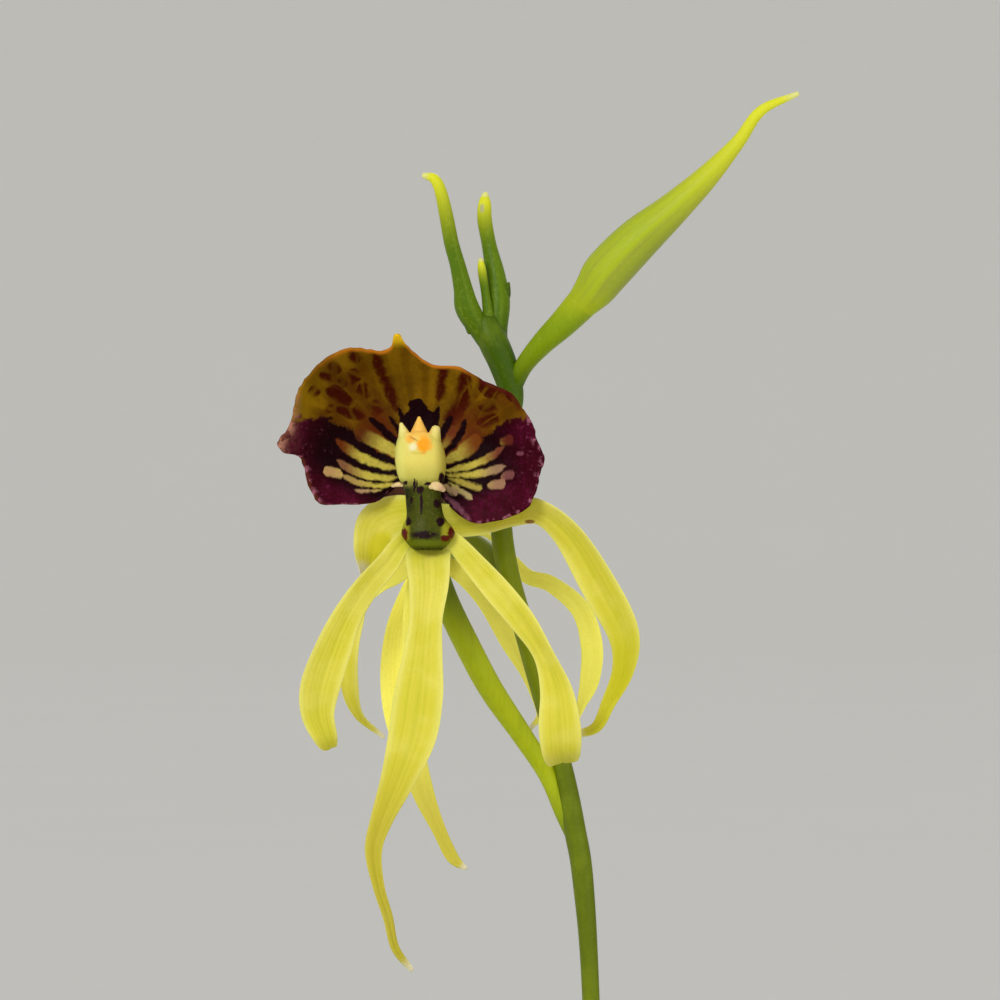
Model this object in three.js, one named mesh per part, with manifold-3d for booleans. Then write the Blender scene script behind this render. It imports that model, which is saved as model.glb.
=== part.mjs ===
// Potted green hornet prosthechea: an orchid with shell-lipped flowers, in bark in a clay pot.
// Millimetres, +Z up, origin at the middle of the pot's underside. The open flower faces -Y.
import * as THREE from "three";
import { mergeVertices } from "three/addons/utils/BufferGeometryUtils.js";
import Module from "manifold-3d";

const wasm = await Module();
wasm.setup();

// Driving dimensions
const GAP = 0.3;
const BLADE_THICKNESS = 0.7;
const LEAF_THICKNESS = 1.2;
const SHEATH_THICKNESS = 0.7;

const POT = { height: 105, footRadius: 41, bodyRadius: 55, rimRadius: 60, rimHeight: 22, wall: 5.5, floor: 8 };
const POT_SIDES = 36;
const DRAIN = { radius: 4.5, ring: 23, count: 4 };
const BARK = { edgeHeight: 90, middleHeight: 94, chips: 38, chipReach: 39, stemRoom: 8 };

const RHIZOME_HEIGHT = 96;
const BULB_FOOT = 95;
const SHEATH_ROOM = 1.1;
const LEAF_ROOM = 0.8;
const SPIKE_ROOM = 5.2;
const LEAF_PAIR_ROOM = 2.2;

// The middle of each flower, where its sepals, petals and column meet
const FRONT_FLOWER = new THREE.Vector3(-7.9, -12, 369.7);
const REAR_FLOWER = new THREE.Vector3(-6.8, 14, 368.6);
const REAR_TURN = THREE.MathUtils.degToRad(234);
const REAR_TILT = THREE.MathUtils.degToRad(16);
const REAR_SIZE = 0.9;

const FACING_VIEWER = [0, -1, 0];
const FACING_UP_FRONT = [0, -0.57, 0.82];

const group = new THREE.Group();

// Materials
const finish = (color, roughness) => new THREE.MeshStandardMaterial({ color, roughness, metalness: 0 });
const CLAY = finish(0xb56a45, 0.9);
const BARK_BROWN = finish(0x6b4428, 0.95);
const ROOT_GREEN = finish(0x9aa36b, 0.7);
const BULB_GREEN = finish(0x7f9a3a, 0.5);
const PAPER_TAN = finish(0xc2a878, 0.85);
const LEAF_GREEN = finish(0x4f7f22, 0.5);
const STEM_GREEN = finish(0x6f8a10, 0.5);
const PEDICEL_GREEN = finish(0xa3c41e, 0.5);
const BUD_GREEN = finish(0xb5c43a, 0.5);
const TEPAL_YELLOW = finish(0xd8d44a, 0.55);
const LIP_MAROON = finish(0x6a2a24, 0.5);
const COLUMN_CREAM = finish(0xd9d27a, 0.5);
const ANTHER_ORANGE = finish(0xf2a52c, 0.5);

// Solids

function solidOf(geometry) {
  const bare = geometry.clone();
  bare.deleteAttribute("normal");
  bare.deleteAttribute("uv");
  const merged = mergeVertices(bare, 1e-4);
  const corners = merged.index.array;
  const triVerts = [];
  for (let i = 0; i < corners.length; i += 3) {
    const [a, b, c] = [corners[i], corners[i + 1], corners[i + 2]];
    if (a !== b && b !== c && c !== a) triVerts.push(a, b, c);
  }
  const vertProperties = new Float32Array(merged.attributes.position.array);
  const mesh = new wasm.Mesh({ numProp: 3, vertProperties, triVerts: new Uint32Array(triVerts) });
  return new wasm.Manifold(mesh);
}

function geometryOf(solid) {
  const { vertProperties, triVerts } = solid.getMesh();
  const geometry = new THREE.BufferGeometry();
  geometry.setAttribute("position", new THREE.BufferAttribute(vertProperties, 3));
  geometry.setIndex(new THREE.BufferAttribute(triVerts, 1));
  return geometry;
}

function largestPiece(solid) {
  const pieces = solid.decompose();
  return pieces.reduce((best, piece) => (piece.volume() > best.volume() ? piece : best));
}

const joined = (solids) => solids.reduce((whole, solid) => whole.add(solid));
const cutBy = (solid, cutters) => largestPiece(cutters.reduce((left, cutter) => left.subtract(cutter), solid));

function place(name, shape, material) {
  const geometry = shape.isBufferGeometry ? shape : geometryOf(shape);
  geometry.computeVertexNormals();
  const mesh = new THREE.Mesh(geometry, material);
  mesh.name = name;
  group.add(mesh);
}

// A closed skin from points and three-cornered faces, turned so that its faces point outwards
function closedSkin(points, faces) {
  const whole = faces.filter(([a, b, c]) => a !== b && b !== c && c !== a);
  const cross = new THREE.Vector3();
  const volume = whole.reduce(
    (sum, [a, b, c]) => sum + points[a].dot(cross.crossVectors(points[b], points[c])), 0);
  const turned = volume < 0 ? whole.map(([a, b, c]) => [a, c, b]) : whole;
  const geometry = new THREE.BufferGeometry().setFromPoints(points);
  geometry.setIndex(turned.flat());
  return geometry;
}

// A sheet with two like faces: front[i][j] and back[i][j] are the same grid, a thickness apart.
// A wrapped sheet joins its last column to its first, and its first row is one point.
function sheetSkin(front, back, wrapped = false) {
  const rows = front.length;
  const columns = front[0].length;
  const points = [...front.flat(), ...back.flat()];
  const faces = [];
  const at = (i, j) => (wrapped && i === 0 ? 0 : i * columns + (j % columns));
  const half = rows * columns;
  const quad = (a, b, c, d) => faces.push([a, b, c], [a, c, d]);
  const lastColumn = wrapped ? columns : columns - 1;
  for (let i = 0; i < rows - 1; i += 1) {
    for (let j = 0; j < lastColumn; j += 1) {
      const [a, b, c, d] = [at(i, j), at(i, j + 1), at(i + 1, j + 1), at(i + 1, j)];
      quad(a, b, c, d);
      faces.push([half + a, half + c, half + b], [half + a, half + d, half + c]);
    }
  }
  const wall = (a, b) => quad(b, a, half + a, half + b);
  for (let j = 0; j < lastColumn; j += 1) {
    wall(at(rows - 1, j + 1), at(rows - 1, j));
    if (!wrapped) wall(at(0, j), at(0, j + 1));
  }
  if (!wrapped) {
    for (let i = 0; i < rows - 1; i += 1) {
      wall(at(i + 1, 0), at(i, 0));
      wall(at(i, columns - 1), at(i + 1, columns - 1));
    }
  }
  return closedSkin(points, faces);
}

// A closed skin over a row of rings, with a middle point at each end
function ringSkin(rings) {
  const count = rings[0].length;
  const middle = (ring) => ring.reduce((sum, p) => sum.add(p), new THREE.Vector3()).divideScalar(count);
  const points = [...rings.flat(), middle(rings[0]), middle(rings[rings.length - 1])];
  const foot = points.length - 2;
  const tip = points.length - 1;
  const faces = [];
  for (let j = 0; j < count; j += 1) {
    const next = (j + 1) % count;
    const last = (rings.length - 1) * count;
    faces.push([foot, next, j], [tip, last + j, last + next]);
    for (let i = 0; i < rings.length - 1; i += 1) {
      const [a, b] = [i * count + j, i * count + next];
      faces.push([a, b, b + count], [a, b + count, a + count]);
    }
  }
  return closedSkin(points, faces);
}

// Places along a line of stations [x, y, z, size, turn in degrees]. The side and normal are carried
// along the line without twisting, and then turned by the station's own turn.
function placesAlong(stations, steps, facing) {
  const smooth = (points) => new THREE.CatmullRomCurve3(points, false, "catmullrom", 0.5);
  const line = smooth(stations.map(([x, y, z]) => new THREE.Vector3(x, y, z)));
  const sizes = smooth(stations.map(([, , , size, turn = 0]) => new THREE.Vector3(size, turn, 0)));
  const carried = new THREE.Vector3(...facing);
  return Array.from({ length: steps + 1 }, (_, i) => {
    const t = i / steps;
    const tangent = line.getTangent(t).normalize();
    carried.addScaledVector(tangent, -carried.dot(tangent)).normalize();
    const { x: size, y: turn } = sizes.getPoint(t);
    const normal = carried.clone().applyAxisAngle(tangent, THREE.MathUtils.degToRad(turn));
    const side = new THREE.Vector3().crossVectors(tangent, normal);
    return { centre: line.getPoint(t), normal, side, size };
  });
}

// A leaf, sepal or petal: cup is how far its edges lift towards the facing side, per half width
function blade(stations, { steps, across, cup, facing = FACING_VIEWER, thickness = BLADE_THICKNESS }) {
  const face = (offset) => placesAlong(stations, steps, facing).map(({ centre, normal, side, size }) =>
    Array.from({ length: across + 1 }, (_, j) => {
      const u = (2 * j) / across - 1;
      return centre.clone()
        .addScaledVector(side, (size / 2) * u)
        .addScaledVector(normal, cup * (size / 2) * u * u + offset);
    }));
  return sheetSkin(face(thickness / 2), face(-thickness / 2));
}

// A round stalk of changing diameter; grow makes the slightly larger solid that cuts room for it
function stalk(stations, { steps, sides, grow = 0, facing = FACING_VIEWER }) {
  const rings = placesAlong(stations, steps, facing).map(({ centre, normal, side, size }) =>
    Array.from({ length: sides }, (_, j) => {
      const angle = (2 * Math.PI * j) / sides;
      const radius = size / 2 + grow;
      return centre.clone()
        .addScaledVector(side, radius * Math.cos(angle))
        .addScaledVector(normal, radius * Math.sin(angle));
    }));
  return ringSkin(rings);
}

// A solid of revolution about the Z axis from [radius, height] pairs that start and end on it
function turnedSolid(profile, segments) {
  const points = profile.map(([radius, height]) => new THREE.Vector2(radius, height));
  return new THREE.LatheGeometry(points, segments).rotateX(Math.PI / 2);
}

// A repeatable draw between 0 and 1
function seededDraw(seed) {
  let state = seed;
  return () => {
    state = (state * 1664525 + 1013904223) % 4294967296;
    return state / 4294967296;
  };
}

// Pot
const innerRadius = (z) => {
  const foot = POT.footRadius - POT.wall;
  const top = POT.bodyRadius - POT.wall;
  return foot + ((top - foot) * z) / POT.height;
};

function buildPot() {
  const shoulder = POT.height - POT.rimHeight;
  const outerRadius = (z) => innerRadius(z) + POT.wall;
  const profile = [
    [0, 0], [POT.footRadius - 1.5, 0], [POT.footRadius, 1.5],
    [outerRadius(shoulder), shoulder], [POT.rimRadius - 2, shoulder + 1.5],
    [POT.rimRadius, POT.height - 2], [POT.rimRadius - 2, POT.height],
    [innerRadius(POT.height) + 1.5, POT.height], [innerRadius(POT.height - 2), POT.height - 2],
    [innerRadius(POT.floor), POT.floor], [0, POT.floor],
  ];
  const holes = Array.from({ length: DRAIN.count }, (_, i) => {
    const angle = Math.PI / 4 + (2 * Math.PI * i) / DRAIN.count;
    const hole = new THREE.CylinderGeometry(DRAIN.radius, DRAIN.radius, 4 * POT.floor, 12);
    hole.rotateX(Math.PI / 2);
    hole.translate(DRAIN.ring * Math.cos(angle), DRAIN.ring * Math.sin(angle), 0);
    return solidOf(hole);
  });
  return cutBy(solidOf(turnedSolid(profile, POT_SIDES)), holes);
}

// Bulbs: foot place, height, broad and narrow diameters, turn of the broad side, lean in x and y
const BULBS = [
  { x: 12, y: 3, height: 88, broad: 25, narrow: 15, turn: 80, lean: [0, 0.5] },
  { x: 33, y: -5, height: 56, broad: 18, narrow: 12, turn: 60, lean: [7, -3] },
  { x: -9, y: -3, height: 84, broad: 26, narrow: 15, turn: 100, lean: [-3, -3] },
  { x: -30, y: 3, height: 74, broad: 24, narrow: 14, turn: 168, lean: [-10, 2] },
  { x: 14, y: 27, height: 66, broad: 22, narrow: 13, turn: 25, lean: [4, 8] },
];

// Radius of a bulb at a share of its height, as a share of its half diameter
const BULB_PROFILE = [
  [0, 0.42], [0.06, 0.6], [0.18, 0.86], [0.32, 1], [0.48, 0.94],
  [0.64, 0.76], [0.8, 0.55], [0.92, 0.38], [1, 0.27],
];

function bulbRadiusAt(share) {
  const above = BULB_PROFILE.findIndex(([height]) => height >= share);
  if (above <= 0) return BULB_PROFILE[0][1];
  const [lowHeight, low] = BULB_PROFILE[above - 1];
  const [highHeight, high] = BULB_PROFILE[above];
  return low + ((high - low) * (share - lowHeight)) / (highHeight - lowHeight);
}

// A point on a bulb's skin, or grown out from it
function bulbPoint(bulb, share, angle, grow = 0) {
  const radius = bulbRadiusAt(share);
  const across = (radius * bulb.broad / 2 + grow) * Math.cos(angle);
  const through = (radius * bulb.narrow / 2 + grow) * Math.sin(angle);
  const turn = THREE.MathUtils.degToRad(bulb.turn);
  return new THREE.Vector3(
    bulb.x + across * Math.cos(turn) - through * Math.sin(turn) + bulb.lean[0] * share * share,
    bulb.y + across * Math.sin(turn) + through * Math.cos(turn) + bulb.lean[1] * share * share,
    BULB_FOOT + bulb.height * share);
}

function bulbSkin(bulb, grow = 0) {
  const sides = 12;
  return ringSkin(BULB_PROFILE.map(([share]) => Array.from({ length: sides }, (_, j) =>
    bulbPoint(bulb, share, (2 * Math.PI * j) / sides, grow))));
}

const bulbTop = (bulb) => new THREE.Vector3(
  bulb.x + bulb.lean[0], bulb.y + bulb.lean[1], BULB_FOOT + bulb.height);

// A papery bract that hugs the lower part of a bulb and narrows to a point
function sheathSkin(bulb, middleAngle, topShare) {
  const rows = 5;
  const columns = 5;
  const footShare = 0.02;
  const face = (grow) => Array.from({ length: rows }, (_, i) => {
    const rise = i / (rows - 1);
    const share = footShare + (topShare - footShare) * rise;
    const reach = THREE.MathUtils.degToRad(80) * Math.sqrt(1.02 - rise);
    return Array.from({ length: columns }, (__, j) =>
      bulbPoint(bulb, share, middleAngle + reach * ((2 * j) / (columns - 1) - 1), grow));
  });
  return sheetSkin(face(SHEATH_ROOM + SHEATH_THICKNESS), face(SHEATH_ROOM));
}

// Creeping stem and roots
const RHIZOME = [
  [-36, 4, 95, 5], [-30, 3, RHIZOME_HEIGHT, 7.5], [-19, -1, 95.5, 6.5], [-9, -3, RHIZOME_HEIGHT, 7.5],
  [2, 0, 95.5, 6.5], [12, 3, RHIZOME_HEIGHT, 7.5], [22, 0, 95.5, 6.5], [33, -5, RHIZOME_HEIGHT, 7],
  [39, -7, 96.5, 4],
];
const RHIZOME_BRANCH = [[12, 3, 95.5, 6], [12, 15, 95.5, 6], [14, 27, RHIZOME_HEIGHT, 6.5]];

// Each root leaves the creeping stem at [x, y], runs outwards and dives into the bark
const ROOTS = [
  { from: [-30, 3], heading: 140, reach: 11 },
  { from: [-26, 1], heading: 262, reach: 24 },
  { from: [-19, -1], heading: 80, reach: 26 },
  { from: [0, -1], heading: 285, reach: 30 },
  { from: [20, 1], heading: 300, reach: 28 },
  { from: [35, -5], heading: 60, reach: 12 },
  { from: [3, 0], heading: 100, reach: 32 },
];
const ROOT_DIAMETER = 2.6;
const ROOT_DEPTH = 45;

function rootStations({ from: [x, y], heading, reach }) {
  const angle = THREE.MathUtils.degToRad(heading);
  const step = (share, z, diameter = ROOT_DIAMETER) =>
    [x + reach * share * Math.cos(angle), y + reach * share * Math.sin(angle), z, diameter];
  return [
    step(0, RHIZOME_HEIGHT), step(0.3, RHIZOME_HEIGHT + 1), step(0.7, RHIZOME_HEIGHT),
    step(1, RHIZOME_HEIGHT - 8), step(0.95, RHIZOME_HEIGHT - 24),
    step(0.75, RHIZOME_HEIGHT - ROOT_DEPTH, 1.8),
  ];
}

function rhizomeParts(grow) {
  return [
    solidOf(stalk(RHIZOME, { steps: 16, sides: 8, grow, facing: [0, 0, 1] })),
    solidOf(stalk(RHIZOME_BRANCH, { steps: 3, sides: 8, grow, facing: [0, 0, 1] })),
    ...ROOTS.map((root) =>
      solidOf(stalk(rootStations(root), { steps: 7, sides: 5, grow, facing: [1, 0, 0.4] }))),
  ];
}

// Bark: a core shaped to the pot, with chips standing out of its top
function barkChip(draw) {
  const chip = new THREE.BoxGeometry(7 + 8 * draw(), 5 + 4 * draw(), 3.5 + 3 * draw());
  const corners = chip.attributes.position;
  const shift = new Map();
  const point = new THREE.Vector3();
  for (let i = 0; i < corners.count; i += 1) {
    point.fromBufferAttribute(corners, i);
    const key = point.toArray().map(Math.sign).join();
    if (!shift.has(key)) shift.set(key, new THREE.Vector3(draw(), draw(), draw()).subScalar(0.5));
    point.addScaledVector(shift.get(key), 2.4);
    corners.setXYZ(i, point.x, point.y, point.z);
  }
  chip.rotateX((draw() - 0.5) * 0.8);
  chip.rotateY((draw() - 0.5) * 0.8);
  chip.rotateZ(draw() * Math.PI);
  return chip;
}

function buildBark(stems) {
  const draw = seededDraw(7);
  const foot = POT.floor + GAP;
  const core = [
    [0, foot], [innerRadius(foot) - GAP, foot], [innerRadius(BARK.edgeHeight) - GAP, BARK.edgeHeight],
    [0.55 * POT.bodyRadius, BARK.middleHeight], [0, BARK.middleHeight + 0.5],
  ];
  const chips = [];
  while (chips.length < BARK.chips) {
    const radius = BARK.chipReach * Math.sqrt(draw());
    const angle = 2 * Math.PI * draw();
    const [x, y] = [radius * Math.cos(angle), radius * Math.sin(angle)];
    const chip = barkChip(draw);
    const crowded = BULBS.some((bulb) => Math.hypot(bulb.x - x, bulb.y - y) < BARK.stemRoom);
    if (!crowded) {
      const slope = (BARK.middleHeight - BARK.edgeHeight) / BARK.chipReach;
      chips.push(solidOf(chip.translate(x, y, BARK.middleHeight - slope * radius + 0.5)));
    }
  }
  return cutBy(joined([solidOf(turnedSolid(core, POT_SIDES)), ...chips]), stems);
}

// Leaves: each springs from the top of a bulb, rises and arches over
const LEAVES = [
  { name: "leaf_1a", bulb: 0, side: 1, length: 170, width: 31, lean: [12, 100], sway: -12 },
  { name: "leaf_1b", bulb: 0, side: -1, length: 158, width: 30, lean: [14, 104], sway: 30 },
  { name: "leaf_2a", bulb: 1, side: 1, length: 118, width: 24, lean: [12, 62], sway: -48 },
  { name: "leaf_2b", bulb: 1, side: -1, length: 126, width: 25, lean: [14, 78], sway: 68 },
  { name: "leaf_3a", bulb: 2, side: 1, length: 165, width: 32, lean: [12, 96], sway: 28 },
  { name: "leaf_3b", bulb: 2, side: -1, length: 172, width: 31, lean: [14, 112], sway: -66 },
  { name: "leaf_4a", bulb: 3, side: 1, length: 150, width: 29, lean: [18, 108], sway: 16 },
  { name: "leaf_5a", bulb: 4, side: 1, length: 140, width: 28, lean: [16, 102], sway: 18 },
];

// Width along a leaf, from its foot to its tip, as a share of its full width
const LEAF_OUTLINE = [0.26, 0.5, 0.84, 1, 0.98, 0.84, 0.56, 0.1];

const leafCompass = ({ bulb, side }) => BULBS[bulb].turn + (side < 0 ? 180 : 0);

function leafStations(leaf) {
  const { bulb: index, length, width, lean, sway } = leaf;
  const start = THREE.MathUtils.degToRad(leafCompass(leaf));
  const spread = index === 0 ? SPIKE_ROOM : LEAF_PAIR_ROOM;
  const point = bulbTop(BULBS[index]).add(new THREE.Vector3(
    spread * Math.cos(start), spread * Math.sin(start), LEAF_ROOM));
  const count = LEAF_OUTLINE.length - 1;
  return LEAF_OUTLINE.map((share, k) => {
    if (k > 0) {
      const along = (k - 0.5) / count;
      const tilt = THREE.MathUtils.degToRad(lean[0] + (lean[1] - lean[0]) * along ** 1.2);
      const compass = start + THREE.MathUtils.degToRad(sway * along);
      point.add(new THREE.Vector3(
        Math.sin(tilt) * Math.cos(compass), Math.sin(tilt) * Math.sin(compass), Math.cos(tilt),
      ).multiplyScalar(length / count));
    }
    return [point.x, point.y, point.z, width * share];
  });
}

function leafSkin(leaf) {
  const compass = THREE.MathUtils.degToRad(leafCompass(leaf));
  const facing = [-Math.cos(compass), -Math.sin(compass), 0];
  return blade(leafStations(leaf), { steps: 10, across: 4, cup: 0.35, facing, thickness: LEAF_THICKNESS });
}

// Flower spike: its stem, small bracts and stalks, as [x, y, z, diameter]
const SPIKE = [
  [12, 3.5, 183.6, 3.4], [12.6, 3, 215, 3.0], [12, 2, 250, 2.7], [11.2, 1, 285, 2.3], [10.2, 0, 319, 2.0],
  [9.3, 0, 332.5, 2.4], [8.4, 0, 338.1, 2.5], [7.3, 0, 343.7, 2.4], [5.8, 0, 349.5, 2.3], [4.1, 0, 355.4, 2.3],
  [2.5, 0, 361.3, 2.4], [1.0, 0, 366.6, 2.5], [0.2, 0, 371.6, 2.5], [0.1, 0, 377.2, 2.5], [0.7, 0, 382.8, 2.6],
  [1.3, 0, 386.7, 2.8], [0.4, 0, 390.1, 3.2], [-0.9, 0, 393.1, 3.4], [-1.5, 0, 394.8, 2.8],
];
// Bracts on the spike: foot place, way it points, length and width
const SPIKE_BRACTS = [
  { foot: [12.4, 3.8, 222], way: [0.16, 0.2, 1], length: 13, width: 4.4 },
  { foot: [11.9, 1.0, 262], way: [-0.12, -0.2, 1], length: 11, width: 3.8 },
  { foot: [10.9, 1.4, 300], way: [0.12, 0.2, 1], length: 9, width: 3.2 },
  { foot: [7.4, 0.9, 338.5], way: [-0.5, 0.3, 1], length: 3.2, width: 2.4 },
  { foot: [2.6, 0.9, 361.5], way: [0.2, 0.5, 1], length: 3.0, width: 2.4 },
  { foot: [1.7, 0.8, 386.2], way: [0.7, 0.4, 1], length: 2.8, width: 2.4 },
];

const PEDICELS = {
  pedicel_front: [
    [7.4, 0, 339.6, 2.0], [5.4, -1.5, 344.3, 2.2], [2.4, -3, 348.9, 2.5], [-1.0, -4, 354.0, 2.8],
    [-3.8, -5, 359.3, 2.9], [-5.9, -5.8, 363.8, 2.8], [-7.2, -6.4, 367.6, 2.7], [-7.9, -7.6, 370.0, 2.6],
    [-7.9, -9.1, 370.5, 2.4],
  ],
  pedicel_rear: [
    [1.6, 0, 363.3, 2.0], [0.0, 1.7, 366.9, 2.5], [-1.9, 5, 369.4, 2.7], [-3.6, 9, 369.6, 2.6],
    [-4.9, 11.6, 369.4, 2.4],
  ],
  pedicel_bud: [
    [1.3, 0, 387.3, 2.0], [2.7, -1, 390.0, 2.1], [4.7, -2.5, 392.4, 2.6], [7.0, -4, 394.6, 3.2],
    [9.1, -4.9, 396.8, 3.7],
  ],
};

const BUDS = {
  bud_large: [
    [9.5, -5.05, 397.2, 4.0], [10.7, -5.5, 398.6, 4.8], [12.0, -6, 400.4, 5.3], [15.2, -7, 403.7, 5.0],
    [19.1, -8, 407.1, 3.8], [22.9, -9, 410.7, 2.7], [26.3, -10, 414.5, 1.6], [28.8, -10.5, 417.9, 1.2],
    [32.7, -11, 419.7, 0.6],
  ],
  bud_left: [
    [-2.2, 0, 393.4, 2.4], [-3.4, -0.4, 396.3, 2.6], [-4.4, -1, 400.1, 2.0], [-5.4, -1.5, 403.5, 1.7],
    [-6.0, -2, 406.8, 1.6], [-6.6, -2, 409.4, 1.4], [-7.3, -2, 410.8, 1.2], [-8.4, -2, 411.2, 0.7],
  ],
  bud_middle: [
    [-0.4, 0.5, 393.8, 2.4], [-0.2, 1, 397.2, 2.8], [-0.5, 1.5, 400.2, 2.3], [-1.2, 2, 403.6, 1.7],
    [-1.7, 2, 406.4, 1.7], [-1.7, 2, 408.2, 1.5], [-1.65, 2, 409.2, 0.8],
  ],
  bud_small: [
    [-1.5, -1.2, 395.0, 1.1], [-1.8, -1.6, 398.0, 0.9], [-2.1, -1.8, 401.0, 1.0], [-2.2, -1.8, 402.2, 0.6],
  ],
};

function bractSkin({ foot, way, length, width }) {
  const start = new THREE.Vector3(...foot);
  const along = new THREE.Vector3(...way).normalize();
  const outward = new THREE.Vector3(way[0], way[1], 0).normalize();
  const outline = [0.75, 1, 0.7, 0.1];
  const stations = outline.map((share, k) => {
    const point = start.clone().addScaledVector(along, (length * k) / (outline.length - 1));
    return [point.x, point.y, point.z, width * share];
  });
  const facing = outward.negate().toArray();
  return blade(stations, { steps: 3, across: 2, cup: 0.7, facing });
}

function spikeStem(grow = 0) {
  return solidOf(stalk(SPIKE, { steps: 34, sides: 8, grow }));
}

// Sepals and petals, as [x, y, z, width, turn] from the middle of their flower
const FRONT_TEPALS = {
  front_dorsal_sepal: {
    facing: FACING_UP_FRONT,
    stations: [
      [0, 1.0, -0.45, 3.6], [0, -0.6, -1.6, 4.3], [0.1, -1.8, -4, 4.2], [-0.2, -2.6, -7.9, 3.6],
      [-0.5, -3, -11.7, 4.4, 8], [-0.9, -3, -16.1, 5.6, 12], [-1.6, -2.5, -20.5, 5.4, 12],
      [-3.3, -2, -25.4, 3.8, 8], [-5.1, -2, -29.8, 2.5], [-6.0, -2.5, -33.1, 1.9, -8],
      [-5.5, -3, -36.9, 1.4, -16], [-4.4, -3, -40.5, 1.3, -20], [-3.6, -2.5, -43.8, 1.0, -20],
      [-1.9, -1.5, -46.2, 0.6, -20],
    ],
  },
  front_petal_left: {
    stations: [
      [-3.4, 0.2, 1.0, 1.8], [-4.6, -0.6, -1.5, 2.6, -10], [-7.1, -2, -4.6, 3.1, -16],
      [-9.1, -3, -7.8, 3.5, -14], [-10.6, -3.5, -11.3, 4.2, -8], [-11.8, -3, -15, 4.4],
      [-12.1, -2, -18, 3.6], [-11.3, -0.5, -20.5, 2.7], [-10.7, 1.5, -21.7, 2.2], [-10.4, 3.2, -20.8, 1.0],
    ],
  },
  front_petal_right: {
    stations: [
      [3.4, 0.2, 1.0, 1.8], [4.9, -0.5, -1.3, 2.6, 8], [7.7, -1.5, -4.6, 3.1, 16],
      [10.6, -2, -8.1, 3.2, 24], [12.9, -2, -11.7, 3.0, 34], [14.2, -2, -15.5, 3.8, 20],
      [14.5, -2, -19.4, 4.7, 6], [14.6, -0.5, -22.2, 4.3, -6], [14.9, 3, -23.2, 3.8, -8], [14.9, 6, -22.5, 2.4],
      [14.7, 7, -21.1, 0.9],
    ],
  },
  front_sepal_right: {
    stations: [
      [1.7, 2.7, 2.4, 2.4], [5.5, 4.8, 2.9, 3.0], [9.2, 4.4, 3.9, 3.0, 12], [12.3, 2.8, 4.1, 3.5, 16],
      [15.8, 1.0, 1.3, 4.6, 10], [19.0, 0.4, -3.9, 4.9, 4], [21.6, 0.5, -9.2, 4.2], [21.6, 1, -13.4, 2.9],
      [19.9, 1.5, -17.2, 1.7], [18.6, 2, -19.7, 1.3], [16.5, 2.5, -20.6, 0.9],
    ],
  },
  front_sepal_left: {
    stations: [
      [-1.7, 2.6, 2.7, 2.6], [-4.0, 4.2, 3.4, 4.0], [-5.8, 4.9, 2.6, 4.0, -14], [-6.6, 5.8, 0.2, 3.4, -42],
      [-6.9, 6.3, -2.8, 3.2, -95], [-7.6, 6.2, -6.9, 2.8, -145], [-8.7, 5.5, -11.3, 2.8, -170],
      [-8.8, 5.5, -15.5, 2.3, -180], [-7.5, 5.5, -18.9, 1.1, -180], [-5.1, 5.5, -20.9, 0.6, -180],
    ],
  },
};

const REAR_TEPALS = {
  rear_dorsal_sepal: {
    stations: [
      [-0.2, 0.4, -1.1, 2.0], [-2.2, 2.4, -2.0, 2.3], [-3.5, 2, -4.8, 2.7], [-4.5, 1, -8.7, 3.5],
      [-4.7, 0, -13, 4.3], [-4.3, -1, -17.5, 4.3], [-3.4, -2, -22, 3.4], [-1.8, -3, -27.1, 2.5],
      [-0.1, -4, -31, 1.6], [1.4, -4, -34.1, 1.4], [2.8, -4.5, -35.3, 0.6],
    ],
  },
  rear_petal_right: {
    stations: [
      [2.9, 2.4, 0.8, 1.8], [3.0, 0.9, -2.0, 2.3], [5.4, -2.4, -5.1, 2.3], [7.8, -5, -9.1, 2.5, 12],
      [9.8, -6.8, -12.8, 1.9, 20], [11.1, -8.2, -16.4, 1.1], [11.4, -9.3, -17.9, 1.0], [10.3, -10.3, -19.2, 0.6],
    ],
  },
  rear_sepal_right: {
    stations: [
      [3.3, -0.8, 2.7, 1.8], [5.4, -1.6, 1.7, 1.9], [7.9, -3, -0.4, 2.0], [10, -4, -2.3, 2.3],
      [12.7, -5, -3.2, 2.3], [16.1, -6, -6, 2.7, 10], [17.4, -7, -10, 3.2], [17.2, -7, -13.9, 2.7],
      [16, -7, -16.8, 1.1], [15.5, -7.5, -18.4, 0.6],
    ],
  },
  rear_sepal_left: {
    stations: [
      [-1.4, -2.9, 2.8, 1.9], [-3.4, -3.9, 1.2, 2.5], [-5.4, -5, -0.8, 2.7], [-7.5, -6, -2.4, 2.5],
      [-9.9, -6, -5.8, 2.3], [-11.8, -6, -10.6, 2.3], [-12.7, -5.5, -15.1, 1.6], [-12.5, -5, -18, 0.6],
    ],
  },
  rear_petal_left: {
    stations: [
      [-2.6, -2.2, 1.0, 1.7], [-2.7, -3.4, -2.3, 1.9], [-3, -3.6, -6.1, 2.3], [-3, -3.3, -10.6, 2.5],
      [-3, -3.2, -15.2, 2.0], [-3.4, -3, -19.2, 0.8],
    ],
  },
};

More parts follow.
